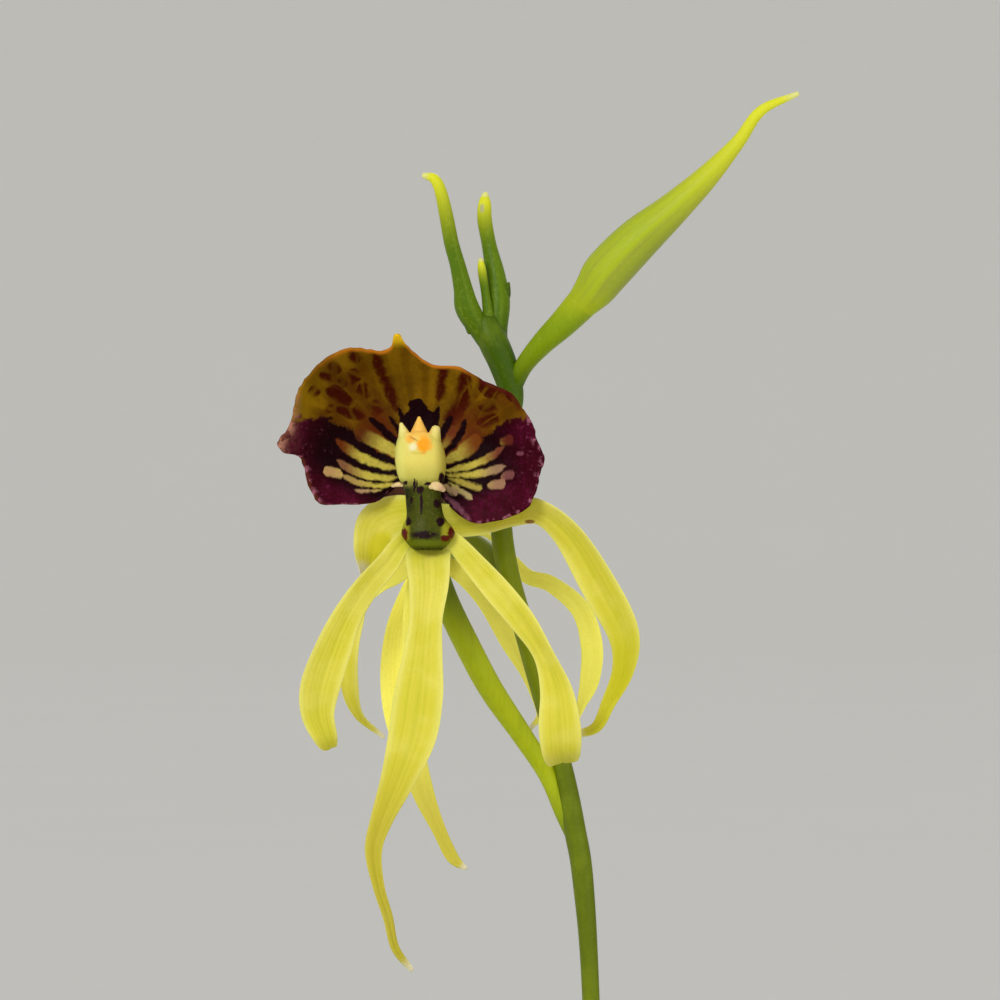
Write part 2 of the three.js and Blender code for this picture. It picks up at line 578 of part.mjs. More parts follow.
// Lip: its middle from the middle of the flower, and its ragged outline [x, z] from its own middle
const LIP_MIDDLE = new THREE.Vector3(-0.8, 3.0, 8.9);
const LIP_REACH = 14;
const LIP_OUTLINE = [
  [-2.6, 14.7], [-2.0, 13.9], [-0.9, 12.7], [1.2, 11.4], [4.1, 11.1], [7.0, 9.6], [10.0, 8.1], [11.0, 6.8],
  [12.4, 4.6], [12.8, 3.0], [13.6, 1.0], [13.1, -0.9], [12.8, -2.2], [11.7, -4.5], [9.2, -5.7], [6.5, -6.2],
  [4.8, -5.7], [3.0, -4.2], [1.8, -2.8], [1.0, -1.9], [-0.7, -1.6], [-2.3, -1.9], [-3.6, -2.5], [-4.7, -3.7],
  [-6.7, -4.1], [-8.9, -4.1], [-11.1, -4.0], [-12.3, -2.2], [-13.3, 1.0], [-15.1, 1.6], [-15.6, 2.8],
  [-14.4, 4.6], [-13.9, 6.5], [-13.1, 9.0], [-10.6, 11.8], [-7.6, 13.1], [-4.5, 12.8], [-3.3, 13.4],
];

// The lip is a shell: it bellies back above the column, and its rim comes forward in small waves
function lipDepth(x, z) {
  const away = Math.hypot(x, z);
  const share = Math.min(away / LIP_REACH, 1.15);
  const upward = away > 0 ? (1 + z / away) / 2 : 0.5;
  const belly = (0.3 + 2.7 * upward) * 4 * share * (1 - share);
  const wave = 0.35 * Math.sin(9 * Math.atan2(z, x)) * share ** 4;
  return LIP_MIDDLE.y + belly - 4 * share ** 2 + wave;
}

function lipSkin(rings) {
  const grid = Array.from({ length: rings + 1 }, (_, i) => LIP_OUTLINE.map(([x, z]) => {
    const [px, pz] = [(x * i) / rings, (z * i) / rings];
    return new THREE.Vector3(LIP_MIDDLE.x + px, lipDepth(px, pz), LIP_MIDDLE.z + pz);
  }));
  const columns = LIP_OUTLINE.length;
  const faces = [];
  for (let i = 0; i < rings; i += 1) {
    for (let j = 0; j < columns; j += 1) {
      const [a, b] = [i * columns + j, i * columns + ((j + 1) % columns)];
      faces.push(a, b, b + columns, a, b + columns, a + columns);
    }
  }
  const surface = new THREE.BufferGeometry().setFromPoints(grid.flat());
  surface.setIndex(faces);
  surface.computeVertexNormals();
  const normals = surface.attributes.normal;
  const face = (offset) => grid.map((row, i) => row.map((point, j) => {
    const normal = new THREE.Vector3().fromBufferAttribute(normals, i * columns + j);
    if (i === 0) normal.set(0, 1, 0);
    if (normal.y < 0) normal.negate();
    return point.clone().addScaledVector(normal, offset);
  }));
  return sheetSkin(face(-BLADE_THICKNESS / 2), face(BLADE_THICKNESS / 2), true);
}

// Column: rings [height, x, half width, half depth] from the middle of the flower, with three teeth
// round the seat of the anther
const COLUMN_RINGS = [
  [0.35, 0, 2.5, 2.3], [1.2, 0, 2.55, 2.3], [3, -0.2, 2.2, 2.0], [5, -0.5, 1.95, 1.8], [6.5, -0.6, 2.05, 1.8],
  [8, -0.75, 2.6, 1.95], [9.8, -0.85, 2.8, 2.0], [11.6, -1.0, 2.5, 1.8], [12.9, -1.1, 2.0, 1.4],
];
const COLUMN_TEETH = [
  { from: [-2.3, 0, 11.6], to: [-3.0, -0.3, 13.9], radius: 0.8 },
  { from: [0.3, 0, 11.6], to: [0.8, -0.3, 13.7], radius: 0.8 },
  { from: [-1.1, 0.5, 12], to: [-1.0, -0.1, 14.8], radius: 1.0 },
];
const ANTHER = { middle: [-0.9, -1.5, 11.8], radius: 1.3 };

const ball = ({ middle, radius }, grow = 0) =>
  new THREE.SphereGeometry(radius + grow, 9, 6).translate(...middle);

function columnSolid() {
  const sides = 10;
  const body = ringSkin(COLUMN_RINGS.map(([z, x, halfWidth, halfDepth]) =>
    Array.from({ length: sides }, (_, j) => {
      const angle = (2 * Math.PI * j) / sides;
      return new THREE.Vector3(x + halfWidth * Math.cos(angle), halfDepth * Math.sin(angle), z);
    })));
  const teeth = COLUMN_TEETH.map(({ from, to, radius }) =>
    solidOf(stalk([[...from, 2 * radius], [...to, 0.5]], { steps: 3, sides: 6 })));
  return cutBy(joined([solidOf(body), ...teeth]), [solidOf(ball(ANTHER, GAP))]);
}

function placeTepals(tepals, middle, steps, across) {
  for (const [name, { stations, facing }] of Object.entries(tepals)) {
    const moved = stations.map(([x, y, z, ...rest]) => [x + middle.x, y + middle.y, z + middle.z, ...rest]);
    place(name, blade(moved, { steps, across, cup: 0.2, facing }), TEPAL_YELLOW);
  }
}

function placeFlowerHeart(prefix, frame, lipRings) {
  const column = geometryOf(columnSolid());
  place(`${prefix}_lip`, lipSkin(lipRings).applyMatrix4(frame), LIP_MAROON);
  place(`${prefix}_column`, column.applyMatrix4(frame), COLUMN_CREAM);
  place(`${prefix}_anther`, geometryOf(solidOf(ball(ANTHER))).applyMatrix4(frame), ANTHER_ORANGE);
}

const frontFrame = new THREE.Matrix4().setPosition(FRONT_FLOWER);
const rearFrame = new THREE.Matrix4().compose(
  REAR_FLOWER,
  new THREE.Quaternion().setFromEuler(new THREE.Euler(REAR_TILT, 0, REAR_TURN, "ZYX")),
  new THREE.Vector3().setScalar(REAR_SIZE));

// The plant in its pot
const rhizome = joined(rhizomeParts(0));
const rhizomeRoom = joined(rhizomeParts(GAP));
const bulbRooms = BULBS.map((bulb) => solidOf(bulbSkin(bulb, GAP)));

place("pot", buildPot(), CLAY);
place("rhizome_and_roots", rhizome, ROOT_GREEN);
BULBS.forEach((bulb, i) => {
  const number = i + 1;
  place(`pseudobulb_${number}`, cutBy(solidOf(bulbSkin(bulb)), [rhizomeRoom]), BULB_GREEN);
});
const sheaths = BULBS.flatMap((bulb, i) => [
  [`sheath_${i + 1}a`, cutBy(solidOf(sheathSkin(bulb, Math.PI / 2, 0.5)), [rhizomeRoom])],
  [`sheath_${i + 1}b`, cutBy(solidOf(sheathSkin(bulb, -Math.PI / 2, 0.38)), [rhizomeRoom])],
]);
sheaths.forEach(([name, solid]) => place(name, solid, PAPER_TAN));
const sheathRooms = BULBS.map((bulb) => solidOf(bulbSkin({ ...bulb, height: 0.5 * bulb.height }, 2)));
place("bark_medium", buildBark([rhizomeRoom, ...bulbRooms, ...sheathRooms]), BARK_BROWN);

LEAVES.forEach((leaf) => place(leaf.name, leafSkin(leaf), LEAF_GREEN));

const SPATHE = [
  [12, 0.6, 184.3, 5.5], [12.1, 0.2, 196, 7], [12.3, 0, 212, 6.4], [12.6, -0.2, 226, 4.2], [12.8, -0.6, 238, 0.8],
];
place("spathe", blade(SPATHE, { steps: 8, across: 4, cup: 0.75, facing: [0, 1, 0] }), PAPER_TAN);

const bracts = SPIKE_BRACTS.map((bract) => solidOf(bractSkin(bract)));
place("spike_stem", largestPiece(joined([spikeStem(), ...bracts])), STEM_GREEN);
const spikeRoom = joined([spikeStem(GAP), ...bracts]);

const stalkSteps = { steps: 10, sides: 8 };
for (const [name, stations] of Object.entries(PEDICELS)) {
  place(name, cutBy(solidOf(stalk(stations, stalkSteps)), [spikeRoom]), PEDICEL_GREEN);
}
let budRooms = spikeRoom;
for (const [name, stations] of Object.entries(BUDS)) {
  place(name, cutBy(solidOf(stalk(stations, stalkSteps)), [budRooms]), BUD_GREEN);
  budRooms = budRooms.add(solidOf(stalk(stations, { ...stalkSteps, grow: GAP })));
}

placeTepals(FRONT_TEPALS, FRONT_FLOWER, 15, 4);
placeFlowerHeart("front", frontFrame, 5);
placeTepals(REAR_TEPALS, REAR_FLOWER, 12, 2);
placeFlowerHeart("rear", rearFrame, 3);

export default group;
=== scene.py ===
import math
import random

import bmesh
import bpy
import numpy as np
from bpy.props import FloatProperty, FloatVectorProperty, IntProperty, PointerProperty
from mathutils import Matrix, Vector, noise


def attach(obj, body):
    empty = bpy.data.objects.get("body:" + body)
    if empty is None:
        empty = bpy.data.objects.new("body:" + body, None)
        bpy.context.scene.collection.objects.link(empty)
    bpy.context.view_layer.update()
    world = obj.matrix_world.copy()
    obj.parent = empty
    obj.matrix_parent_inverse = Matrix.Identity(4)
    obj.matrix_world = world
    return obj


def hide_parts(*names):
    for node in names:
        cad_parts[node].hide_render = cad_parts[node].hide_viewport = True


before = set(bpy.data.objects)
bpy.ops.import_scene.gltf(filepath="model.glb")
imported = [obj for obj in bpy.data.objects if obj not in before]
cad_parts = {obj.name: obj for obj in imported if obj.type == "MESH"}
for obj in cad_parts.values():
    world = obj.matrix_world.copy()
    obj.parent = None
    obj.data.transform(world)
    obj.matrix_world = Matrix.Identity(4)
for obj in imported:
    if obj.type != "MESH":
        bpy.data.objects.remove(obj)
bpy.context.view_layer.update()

bl_info = {
    "name": "Potted green hornet prosthechea",
    "version": (1, 0, 0),
    "blender": (4, 5, 0),
    "location": "3D View > Sidebar > Orchid",
    "description": "Builds the finished orchid, its bark and its clay pot over the packed solids",
    "category": "Add Mesh",
}

# Places and sizes below are in millimetres, as in the solids, and MM turns them into metres.
MM = 0.001
WELD = 1e-6
VIEWER = (0, -1, 0)


def tone(code):
    """A colour given as six hex digits, as linear red, green, blue and alpha."""
    levels = [int(code[i:i + 2], 16) / 255 for i in (1, 3, 5)]
    linear = [v / 12.92 if v <= 0.04045 else ((v + 0.055) / 1.055) ** 2.4 for v in levels]
    return (*linear, 1.0)


def colour_of(name, description, code):
    """A colour setting with its default."""
    return FloatVectorProperty(
        name=name, description=description, subtype="COLOR", size=4, min=0, max=1, default=tone(code))


def length_of(name, description, millimetres):
    """A length setting with its default."""
    return FloatProperty(
        name=name, description=description, subtype="DISTANCE", unit="LENGTH", min=0,
        default=millimetres * MM)


# Settings

class PotSettings(bpy.types.PropertyGroup):
    """Size and colours of the clay pot."""
    height: length_of("Height", "Height of the pot", 105)
    rim_radius: length_of("Rim radius", "Outer radius of the pot's rim", 60)
    wall: length_of("Wall", "Thickness of the pot's wall", 5.5)
    clay: colour_of("Clay", "Fired clay", "#b9694a")
    clay_dark: colour_of("Dark clay", "Clay where it is damp or burnt", "#96492d")
    bloom: colour_of("Bloom", "Pale salts on the clay", "#dcbfa8")


class BarkSettings(bpy.types.PropertyGroup):
    """Chips of bark that the plant grows in."""
    chips: IntProperty(name="Chips", description="How many chips lie on top", min=1, default=260)
    seed: IntProperty(name="Seed", description="Start of the chips' random draw", default=7)
    tufts: IntProperty(name="Moss tufts", description="How many tufts of moss", min=0, default=26)
    light: colour_of("Light bark", "Dry face of a chip", "#a06c45")
    dark: colour_of("Dark bark", "Damp face of a chip", "#4a2c1a")
    moss: colour_of("Moss", "Moss between the chips", "#6f8a2c")


class PlantSettings(bpy.types.PropertyGroup):
    """Colours of the creeping stem, bulbs, sheaths and leaves."""
    root: colour_of("Root", "Silvery skin of the roots", "#c3c7a6")
    root_tip: colour_of("Root green", "Green that shows through the roots", "#8ba04a")
    bulb: colour_of("Bulb", "Skin of the bulbs", "#8aa544")
    bulb_dark: colour_of("Bulb shade", "Furrows of the bulbs", "#5f7a28")
    sheath: colour_of("Sheath", "Dry papery sheaths", "#cdb285")
    leaf: colour_of("Leaf", "Upper face of the leaves", "#4d7d22")
    leaf_light: colour_of("Leaf light", "Veins and lower face of the leaves", "#86a844")


class SpikeSettings(bpy.types.PropertyGroup):
    """Colours of the flower spike and its buds."""
    stem: colour_of("Stem", "Main stem of the spike", "#5e6c02")
    stem_lit: colour_of("Middle stem", "Stem behind the flowers", "#7a8404")
    stem_dark: colour_of("Upper stem", "Stem between the flowers and buds", "#3f5a01")
    stalk: colour_of("Flower stalk", "Stalk of the open flower", "#b0ba14")
    bud: colour_of("Bud", "Skin of the large bud", "#a4b418")
    bud_green: colour_of("Young bud", "Skin of the small buds", "#4c6a02")
    bud_tip: colour_of("Bud tip", "Tips of the buds", "#d3d427")


class FlowerSettings(bpy.types.PropertyGroup):
    """Colours of the flowers."""
    tepal: colour_of("Tepal", "Sepals and petals", "#d4ca40")
    tepal_deep: colour_of("Tepal shade", "Yellow-green between the veins", "#bcba20")
    tepal_pale: colour_of("Tepal margin", "Margins of the sepals and petals", "#e6df80")
    tip: colour_of("Tepal tip", "Dry cream tips", "#e6dcc0")
    ochre: colour_of("Lip ochre", "Upper part of the lip", "#7e5a06")
    maroon: colour_of("Lip maroon", "Bars on the upper part of the lip", "#3e0c02")
    purple: colour_of("Lip purple", "Side lobes of the lip", "#400618")
    yellow: colour_of("Lip yellow", "Middle of the lip", "#c9b84c")
    black: colour_of("Lip stripes", "Stripes round the column", "#170105")
    rim: colour_of("Lip rim", "Edge at the top of the lip", "#bc7018")
    cream: colour_of("Column cream", "Upper part of the column", "#dccb62")
    foot: colour_of("Column green", "Lower part of the column", "#434804")
    anther: colour_of("Anther", "Cap of the anther", "#f7a11c")


class StageSettings(bpy.types.PropertyGroup):
    """Camera, floor and light."""
    distance: length_of("Camera distance", "From the camera to the flower", 700)
    frame_width: length_of("Frame width", "Width of the picture at the flower", 110)
    eye_height: length_of("Eye height", "Height of the camera", 375)
    eye_front: length_of("Flower plane", "How far the flower stands in front of the pot's middle", 12)
    floor_radius: length_of("Floor radius", "Radius of the flat part of the floor", 15000)
    floor: colour_of("Floor", "Plain pale floor", "#f4f3f0")
    backdrop: colour_of("Sky", "Soft light from above", "#cdcdcb")


# Smooth lines and closed skins

def spline(rows, share):
    """The row of numbers at a share of the way along a smooth line through the given rows."""
    rows = np.asarray(rows, float)
    last = len(rows) - 1
    span = min(int(share * last), last - 1)
    start, end = rows[span], rows[span + 1]
    before = rows[span - 1] if span > 0 else 2 * start - end
    after = rows[span + 2] if span + 2 <= last else 2 * end - start
    lead, trail = (end - before) / 2, (after - start) / 2
    t = share * last - span
    return start + lead * t + (3 * (end - start) - 2 * lead - trail) * t ** 2 + (
        2 * (start - end) + lead + trail) * t ** 3


class Place:
    """A place on a line: its centre, direction, side, facing, width and share of the way."""

    def __init__(self, centre, tangent, normal, size, share):
        self.centre = centre
        self.tangent = tangent
        self.normal = normal
        self.side = tangent.cross(normal)
        self.size = size
        self.share = share


def places_along(stations, steps, facing):
    """Places along stations of x, y, z, width and turn in degrees, carried without twisting."""
    rows = [(*station, 0.0)[:5] for station in stations]
    carried = Vector(facing)
    nudge = 1e-4
    places = []
    for i in range(steps + 1):
        share = i / steps
        low, high = max(share - nudge, 0), min(share + nudge, 1)
        tangent = Vector(spline(rows, high)[:3] - spline(rows, low)[:3]).normalized()
        carried = (carried - tangent * carried.dot(tangent)).normalized()
        x, y, z, size, turn = spline(rows, share)
        normal = Matrix.Rotation(math.radians(turn), 3, tangent) @ carried
        places.append(Place(Vector((x, y, z)), tangent, normal, size, share))
    return places


def new_skin():
    """An empty mesh whose vertices carry the pattern's own coordinates."""
    skin = bmesh.new()
    skin.verts.layers.float_vector.new("flat")
    return skin


def add_wrapped(skin, rows, sides, shape):
    """Adds a closed skin: a grid wrapped into a tube whose first and last rows are single points.
    shape(row, angle) gives a vertex's place in millimetres and its pattern coordinates."""
    flat = skin.verts.layers.float_vector["flat"]
    last = len(rows) - 1
    verts = bmesh.ops.create_grid(skin, x_segments=sides, y_segments=last, size=1.0)["verts"]
    for vert in verts:
        column = round((vert.co.x + 1) / 2 * sides)
        row = round((vert.co.y + 1) / 2 * last)
        place, marks = shape(rows[row], 2 * math.pi * column / sides)
        vert.co = place * MM
        vert[flat] = marks
    bmesh.ops.remove_doubles(skin, verts=verts, dist=WELD)


def add_swept(skin, stations, section, steps, sides, facing=VIEWER, cap=0.3):
    """Adds a closed skin swept along stations, with a rounded cap at each end.
    section(place, angle) gives a point's distance to the side and towards the facing."""
    places = places_along(stations, steps, facing)
    bends = [math.radians(a) for a in (90, 60, 30)]
    rows = [(places[0], math.cos(a), -math.sin(a)) for a in bends]
    rows += [(place, 1.0, 0.0) for place in places]
    rows += [(places[-1], math.cos(a), math.sin(a)) for a in reversed(bends)]

    def shape(row, angle):
        place, shrink, push = row
        across, out = section(place, angle)
        point = place.centre + place.tangent * (push * min(cap, place.size / 2))
        point += (place.side * across + place.normal * out) * shrink
        return point, Vector((math.cos(angle), place.share, math.sin(angle)))

    add_wrapped(skin, rows, sides, shape)


def add_turned(skin, profile, steps):
    """Adds a skin turned about the upright axis from a profile of radius and height in millimetres."""
    verts = [skin.verts.new((radius * MM, 0, z * MM)) for radius, z in profile]
    edges = [skin.edges.new(pair) for pair in zip(verts, verts[1:])]
    bmesh.ops.spin(
        skin, geom=verts + edges, cent=(0, 0, 0), axis=(0, 0, 1), angle=2 * math.pi, steps=steps,
        use_merge=True)
    bmesh.ops.remove_doubles(skin, verts=skin.verts, dist=WELD)


def set_in_flower(skin, placed):
    """Moves a skin made in millimetres round a flower's middle to where the flower stands."""
    for vert in skin.verts:
        vert.co = placed @ (vert.co / MM) * MM


def round_section(grooves=0, depth=0.0):
    """A round section, with shallow grooves along it if they are asked for."""
    def section(place, angle):
        radius = place.size / 2 * (1 - depth * (0.5 + 0.5 * math.cos(grooves * angle)) ** 4)
        return radius * math.cos(angle), radius * math.sin(angle)
    return section


def blade_section(cup, thickness, midrib=0.0, ruffle=0.0, waves=3.0):
    """The section of a leaf, sepal or petal: its edges lift by cup, and ruffle in waves."""
    def section(place, angle):
        half = place.size / 2
        u = math.cos(angle)
        out = cup * half * u * u + thickness / 2 * math.sin(angle)
        out -= midrib * math.exp(-(u / 0.16) ** 2)
        out += ruffle * abs(u) ** 3 * math.sin(2 * math.pi * waves * place.share + 2.2 * u)
        return half * u, out
    return section


def settle(skin, name, material, smooth=True):
    """Turns a mesh under construction into an object of the scene."""
    bmesh.ops.recalc_face_normals(skin, faces=skin.faces)
    for face in skin.faces:
        face.smooth = smooth
    mesh = bpy.data.meshes.new(name)
    skin.to_mesh(mesh)
    skin.free()
    mesh.materials.append(material)
    settled = bpy.data.objects.new(name, mesh)
    bpy.context.scene.collection.objects.link(settled)
    return settled


def finish_piece(skin, name, material, nodes, smooth=True):
    """Turns a mesh under construction into a finished piece that rides on the root body."""
    piece = settle(skin, name, material, smooth)
    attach(piece, "root")
    if nodes:
        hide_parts(*nodes)
    return piece


# Node materials

class Finish:
    """A node material under construction. Inputs may be sockets, numbers, or colours as six hex digits."""

    def __init__(self, name, roughness=0.6, specular=0.4, subsurface=0.0, depth=1.0, sheen=0.0):
        self.material = bpy.data.materials.new(name)
        self.material.use_nodes = True
        self.tree = self.material.node_tree
        self.shader = self.tree.nodes["Principled BSDF"]
        uniform = {
            "Roughness": roughness, "Specular IOR Level": specular, "Subsurface Weight": subsurface,
            "Subsurface Scale": depth * MM, "Sheen Weight": sheen,
        }
        for socket, value in uniform.items():
            self.shader.inputs[socket].default_value = value
        self.shader.inputs["Subsurface Radius"].default_value = (1.0, 0.8, 0.35)
        self.place = self.node("ShaderNodeTexCoord", output="Object")
        self.marks = self.node("ShaderNodeAttribute", output="Vector", attribute_name="flat")

    def node(self, kind, inputs=None, output=0, **settings):
        made = self.tree.nodes.new(kind)
        for key, value in settings.items():
            setattr(made, key, value)
        for key, value in (inputs or {}).items():
            if isinstance(value, bpy.types.NodeSocket):
                self.tree.links.new(value, made.inputs[key])
            else:
                made.inputs[key].default_value = tone(value) if isinstance(value, str) else value
        return made.outputs[output]

    def math(self, operation, a, b=0.0, c=0.0):
        return self.node("ShaderNodeMath", {0: a, 1: b, 2: c}, operation=operation)

    def add(self, a, b):
        return self.math("ADD", a, b)

    def times(self, a, b):
        return self.math("MULTIPLY", a, b)

    def size_of(self, a):
        return self.math("ABSOLUTE", a)

    def split(self, vector):
        made = self.tree.nodes.new("ShaderNodeSeparateXYZ")
        self.tree.links.new(vector, made.inputs[0])
        return made.outputs[0], made.outputs[1], made.outputs[2]

    def point(self, x, y, z=0.0):
        return self.node("ShaderNodeCombineXYZ", {0: x, 1: y, 2: z})

    def scaled(self, *pairs):
        """A point whose coordinates are pairs of a value and what it is multiplied by."""
        return self.point(*[self.times(value, scale) for value, scale in pairs])

    def stretch(self, vector, x, y, z):
        return self.node("ShaderNodeVectorMath", {0: vector, 1: (x, y, z)}, operation="MULTIPLY")

    def between(self, value, low, high, start=0.0, end=1.0):
        """A smooth step from start at low to end at high."""
        return self.node(
            "ShaderNodeMapRange", {"Value": value, 1: low, 2: high, 3: start, 4: end},
            interpolation_type="SMOOTHSTEP")

    def mix(self, factor, a, b):
        return self.node("ShaderNodeMix", {0: factor, 6: a, 7: b}, output=2, data_type="RGBA")

    def coats(self, colour, *coats):
        """The colour under coats of a paint, a value, where it starts and ends, and how much it covers."""
        for coat in coats:
            paint, value, low, high, amount = (*coat, 1.0)[:5]
            colour = self.mix(self.between(value, low, high, 0, amount), colour, paint)
        return colour

    def noise(self, vector, scale, detail=3.0, roughness=0.55):
        return self.node(
            "ShaderNodeTexNoise",
            {"Vector": vector, "Scale": scale, "Detail": detail, "Roughness": roughness})

    def cells(self, vector, scale, feature="F1"):
        return self.node("ShaderNodeTexVoronoi", {"Vector": vector, "Scale": scale}, feature=feature)

    def done(self, colour, height=None, distance=0.1, strength=1.0, roughness=None):
        """Links the colour, a relief of that distance in millimetres, and a changing roughness."""
        self.tree.links.new(colour, self.shader.inputs["Base Color"])
        if height is not None:
            bump = self.node(
                "ShaderNodeBump", {"Height": height, "Distance": distance * MM, "Strength": strength})
            self.tree.links.new(bump, self.shader.inputs["Normal"])
        if roughness is not None:
            self.tree.links.new(roughness, self.shader.inputs["Roughness"])
        return self.material


# Pot

POT = {"foot": 41.0, "body": 55.0, "rim_height": 22.0, "floor": 8.0}
POT_SIDES = 144
# How many rows of the mesh lie up the wall, up the rim and down the inside
WALL_ROWS, RIM_ROWS, INSIDE_ROWS = 52, 14, 46
DRAIN = {"radius": 4.5, "ring": 23.0, "count": 4, "sides": 32}


def clay_finish(settings):
    made = Finish("fired_clay", roughness=0.86, specular=0.25)
    _, _, height = made.split(made.place)
    mottle = made.noise(made.place, 38, 5)
    bands = made.noise(made.stretch(made.place, 10, 10, 190), 1, 3)
    grain = made.noise(made.place, 1400, 3, 0.7)
    specks = made.cells(made.place, 900)
    colour = made.coats(
        settings.clay_dark,
        (settings.clay, mottle, 0.35, 0.68),
        (settings.bloom, bands, 0.4, 0.8, 0.16))
    salts = made.noise(made.place, 85, 6, 0.7)
    foot_bloom = made.times(made.between(height, 34 * MM, 4 * MM), made.between(salts, 0.42, 0.62))
    rim_bloom = made.times(made.between(height, 80 * MM, 104 * MM), made.between(salts, 0.5, 0.68))
    bloom = made.math("MAXIMUM", foot_bloom, rim_bloom)
    colour = made.mix(made.times(bloom, 0.6), colour, settings.bloom)
    colour = made.coats(
        colour,
        ("#6b3320", specks, 0.22, 0.1, 0.35),
        ("#d08a66", grain, 0.35, 0.7, 0.25))
    relief = made.add(made.times(grain, 0.6), made.times(bands, 0.5))
    return made.done(colour, relief, 0.22, 0.6, made.between(bloom, 0, 1, 0.8, 0.95))


class ORCHID_OT_pot(bpy.types.Operator):
    """Turns the clay pot with its drain holes"""
    bl_idname = "orchid.pot"
    bl_label = "Clay pot"

    def execute(self, context):
        settings = context.scene.orchid_pot
        height, rim, wall = settings.height / MM, settings.rim_radius / MM, settings.wall / MM
        shoulder = height - POT["rim_height"]

        def inner(z):
            foot, top = POT["foot"] - wall, POT["body"] - wall
            return foot + (top - foot) * z / height

        def thrown(z):
            return 0.12 * math.sin(z * 2.1) + 0.25 * noise.noise(Vector((0, 0, z * 0.35)))

        wall_heights = np.linspace(2.5, shoulder - 1.5, WALL_ROWS)
        rim_heights = np.linspace(shoulder + 2.5, height - 3, RIM_ROWS)
        inside_heights = np.linspace(height - 3, POT["floor"] + 1, INSIDE_ROWS)
        profile = [(0, 0), (POT["foot"] - 1.5, 0), (POT["foot"] - 0.4, 0.5), (POT["foot"], 1.5)]
        profile += [(inner(z) + wall + thrown(z), z) for z in wall_heights]
        profile += [(inner(shoulder) + wall, shoulder - 0.4), (rim - 3, shoulder), (rim - 2, shoulder + 1)]
        profile += [(rim - 2 + 2 * (z - shoulder) / POT["rim_height"] + thrown(z), z) for z in rim_heights]
        profile += [(rim - 0.7, height - 1.2), (rim - 2, height - 0.3), (rim - 4, height)]
        profile += [(inner(height) + 1.5, height - 0.2), (inner(height) + 0.4, height - 1.2)]
        profile += [(inner(z) + 0.5 * thrown(z), z) for z in inside_heights]
        profile += [(inner(POT["floor"]) - 1, POT["floor"]), (0, POT["floor"])]

        skin = new_skin()
        add_turned(skin, profile, POT_SIDES)
        for vert in skin.verts:
            dent = 0.35 * noise.noise(vert.co / (22 * MM)) + 0.06 * noise.noise(vert.co / (3 * MM))
            around = Vector((vert.co.x, vert.co.y, 0))
            if 2 * MM < vert.co.z < (height - 0.1) * MM and around.length > 1 * MM:
                vert.co += around.normalized() * dent * MM
        pot = finish_piece(skin, "clay_pot", clay_finish(settings), ["pot"])

        holes = bmesh.new()
        for i in range(DRAIN["count"]):
            angle = math.pi / 4 + 2 * math.pi * i / DRAIN["count"]
            at = (DRAIN["ring"] * MM * math.cos(angle), DRAIN["ring"] * MM * math.sin(angle), 0)
            bmesh.ops.create_cone(
                holes, cap_ends=True, segments=DRAIN["sides"], radius1=DRAIN["radius"] * MM,
                radius2=DRAIN["radius"] * MM, depth=4 * POT["floor"] * MM, matrix=Matrix.Translation(at))
        drill_mesh = bpy.data.meshes.new("drill")
        holes.to_mesh(drill_mesh)
        holes.free()
        drill = bpy.data.objects.new("drill", drill_mesh)
        context.scene.collection.objects.link(drill)
        cut = pot.modifiers.new("drain_holes", "BOOLEAN")
        cut.operation = "DIFFERENCE"
        cut.object = drill
        context.view_layer.update()
        drilled = bpy.data.meshes.new_from_object(pot.evaluated_get(context.evaluated_depsgraph_get()))
        pot.modifiers.clear()
        pot.data = drilled
        drilled.name = "clay_pot"
        bpy.data.objects.remove(drill)
        if not drilled.vertices:
            raise RuntimeError("The drain holes left no pot")
        return {"FINISHED"}


# Bark and moss

BARK = {"edge_height": 90.0, "middle_height": 94.0, "reach": 45.0, "core_radius": 47.2, "stem_room": 7.5}
BARK_CORE = [(0, 8.4), (36.2, 8.4), (BARK["core_radius"], 86), (26, 89), (0, 90)]
BARK_SIDES = 48
# Share along a chip, and how broad it is there
CHIP_ENDS = [(-1, 0), (-0.95, 0.85), (-0.4, 1), (0.35, 0.95), (0.95, 0.8), (1, 0)]
CHIP_SIDES = 10
CHIP_SQUARENESS = 0.45
BLADES_IN_TUFT = 34


def bark_finish(settings):
    made = Finish("fir_bark", roughness=0.92, specular=0.2)
    share, _, _ = made.split(made.marks)
    layers = made.noise(made.stretch(made.place, 90, 90, 700), 1, 5, 0.65)
    cracks = made.cells(made.stretch(made.place, 160, 160, 420), 1, "DISTANCE_TO_EDGE")
    grain = made.noise(made.place, 1100, 4, 0.7)
    colour = made.coats(
        settings.dark,
        (settings.light, layers, 0.35, 0.7),
        ("#6f3a24", share, 0, 1, 0.55),
        ("#2a170d", cracks, 0.09, 0.0, 0.7),
        ("#b98a60", grain, 0.5, 0.78, 0.4))
    relief = made.add(layers, made.add(made.times(grain, 0.35), made.between(cracks, 0, 0.12)))
    return made.done(colour, relief, 0.7, 0.9)


def moss_finish(settings):
    made = Finish("moss", roughness=0.85, specular=0.2, sheen=0.3)
    _, along, _ = made.split(made.marks)
    patches = made.noise(made.place, 320, 3)
    colour = made.coats(
        "#3c4a18",
        (settings.moss, along, 0, 1),
        ("#a8a850", patches, 0.45, 0.7, 0.6))
    return made.done(colour, patches, 0.1, 0.4)


def bark_surface(radius):
    """Height of the bark at a distance from the pot's middle."""
    fall = (BARK["middle_height"] - BARK["edge_height"]) / BARK["reach"]
    return BARK["middle_height"] - fall * radius


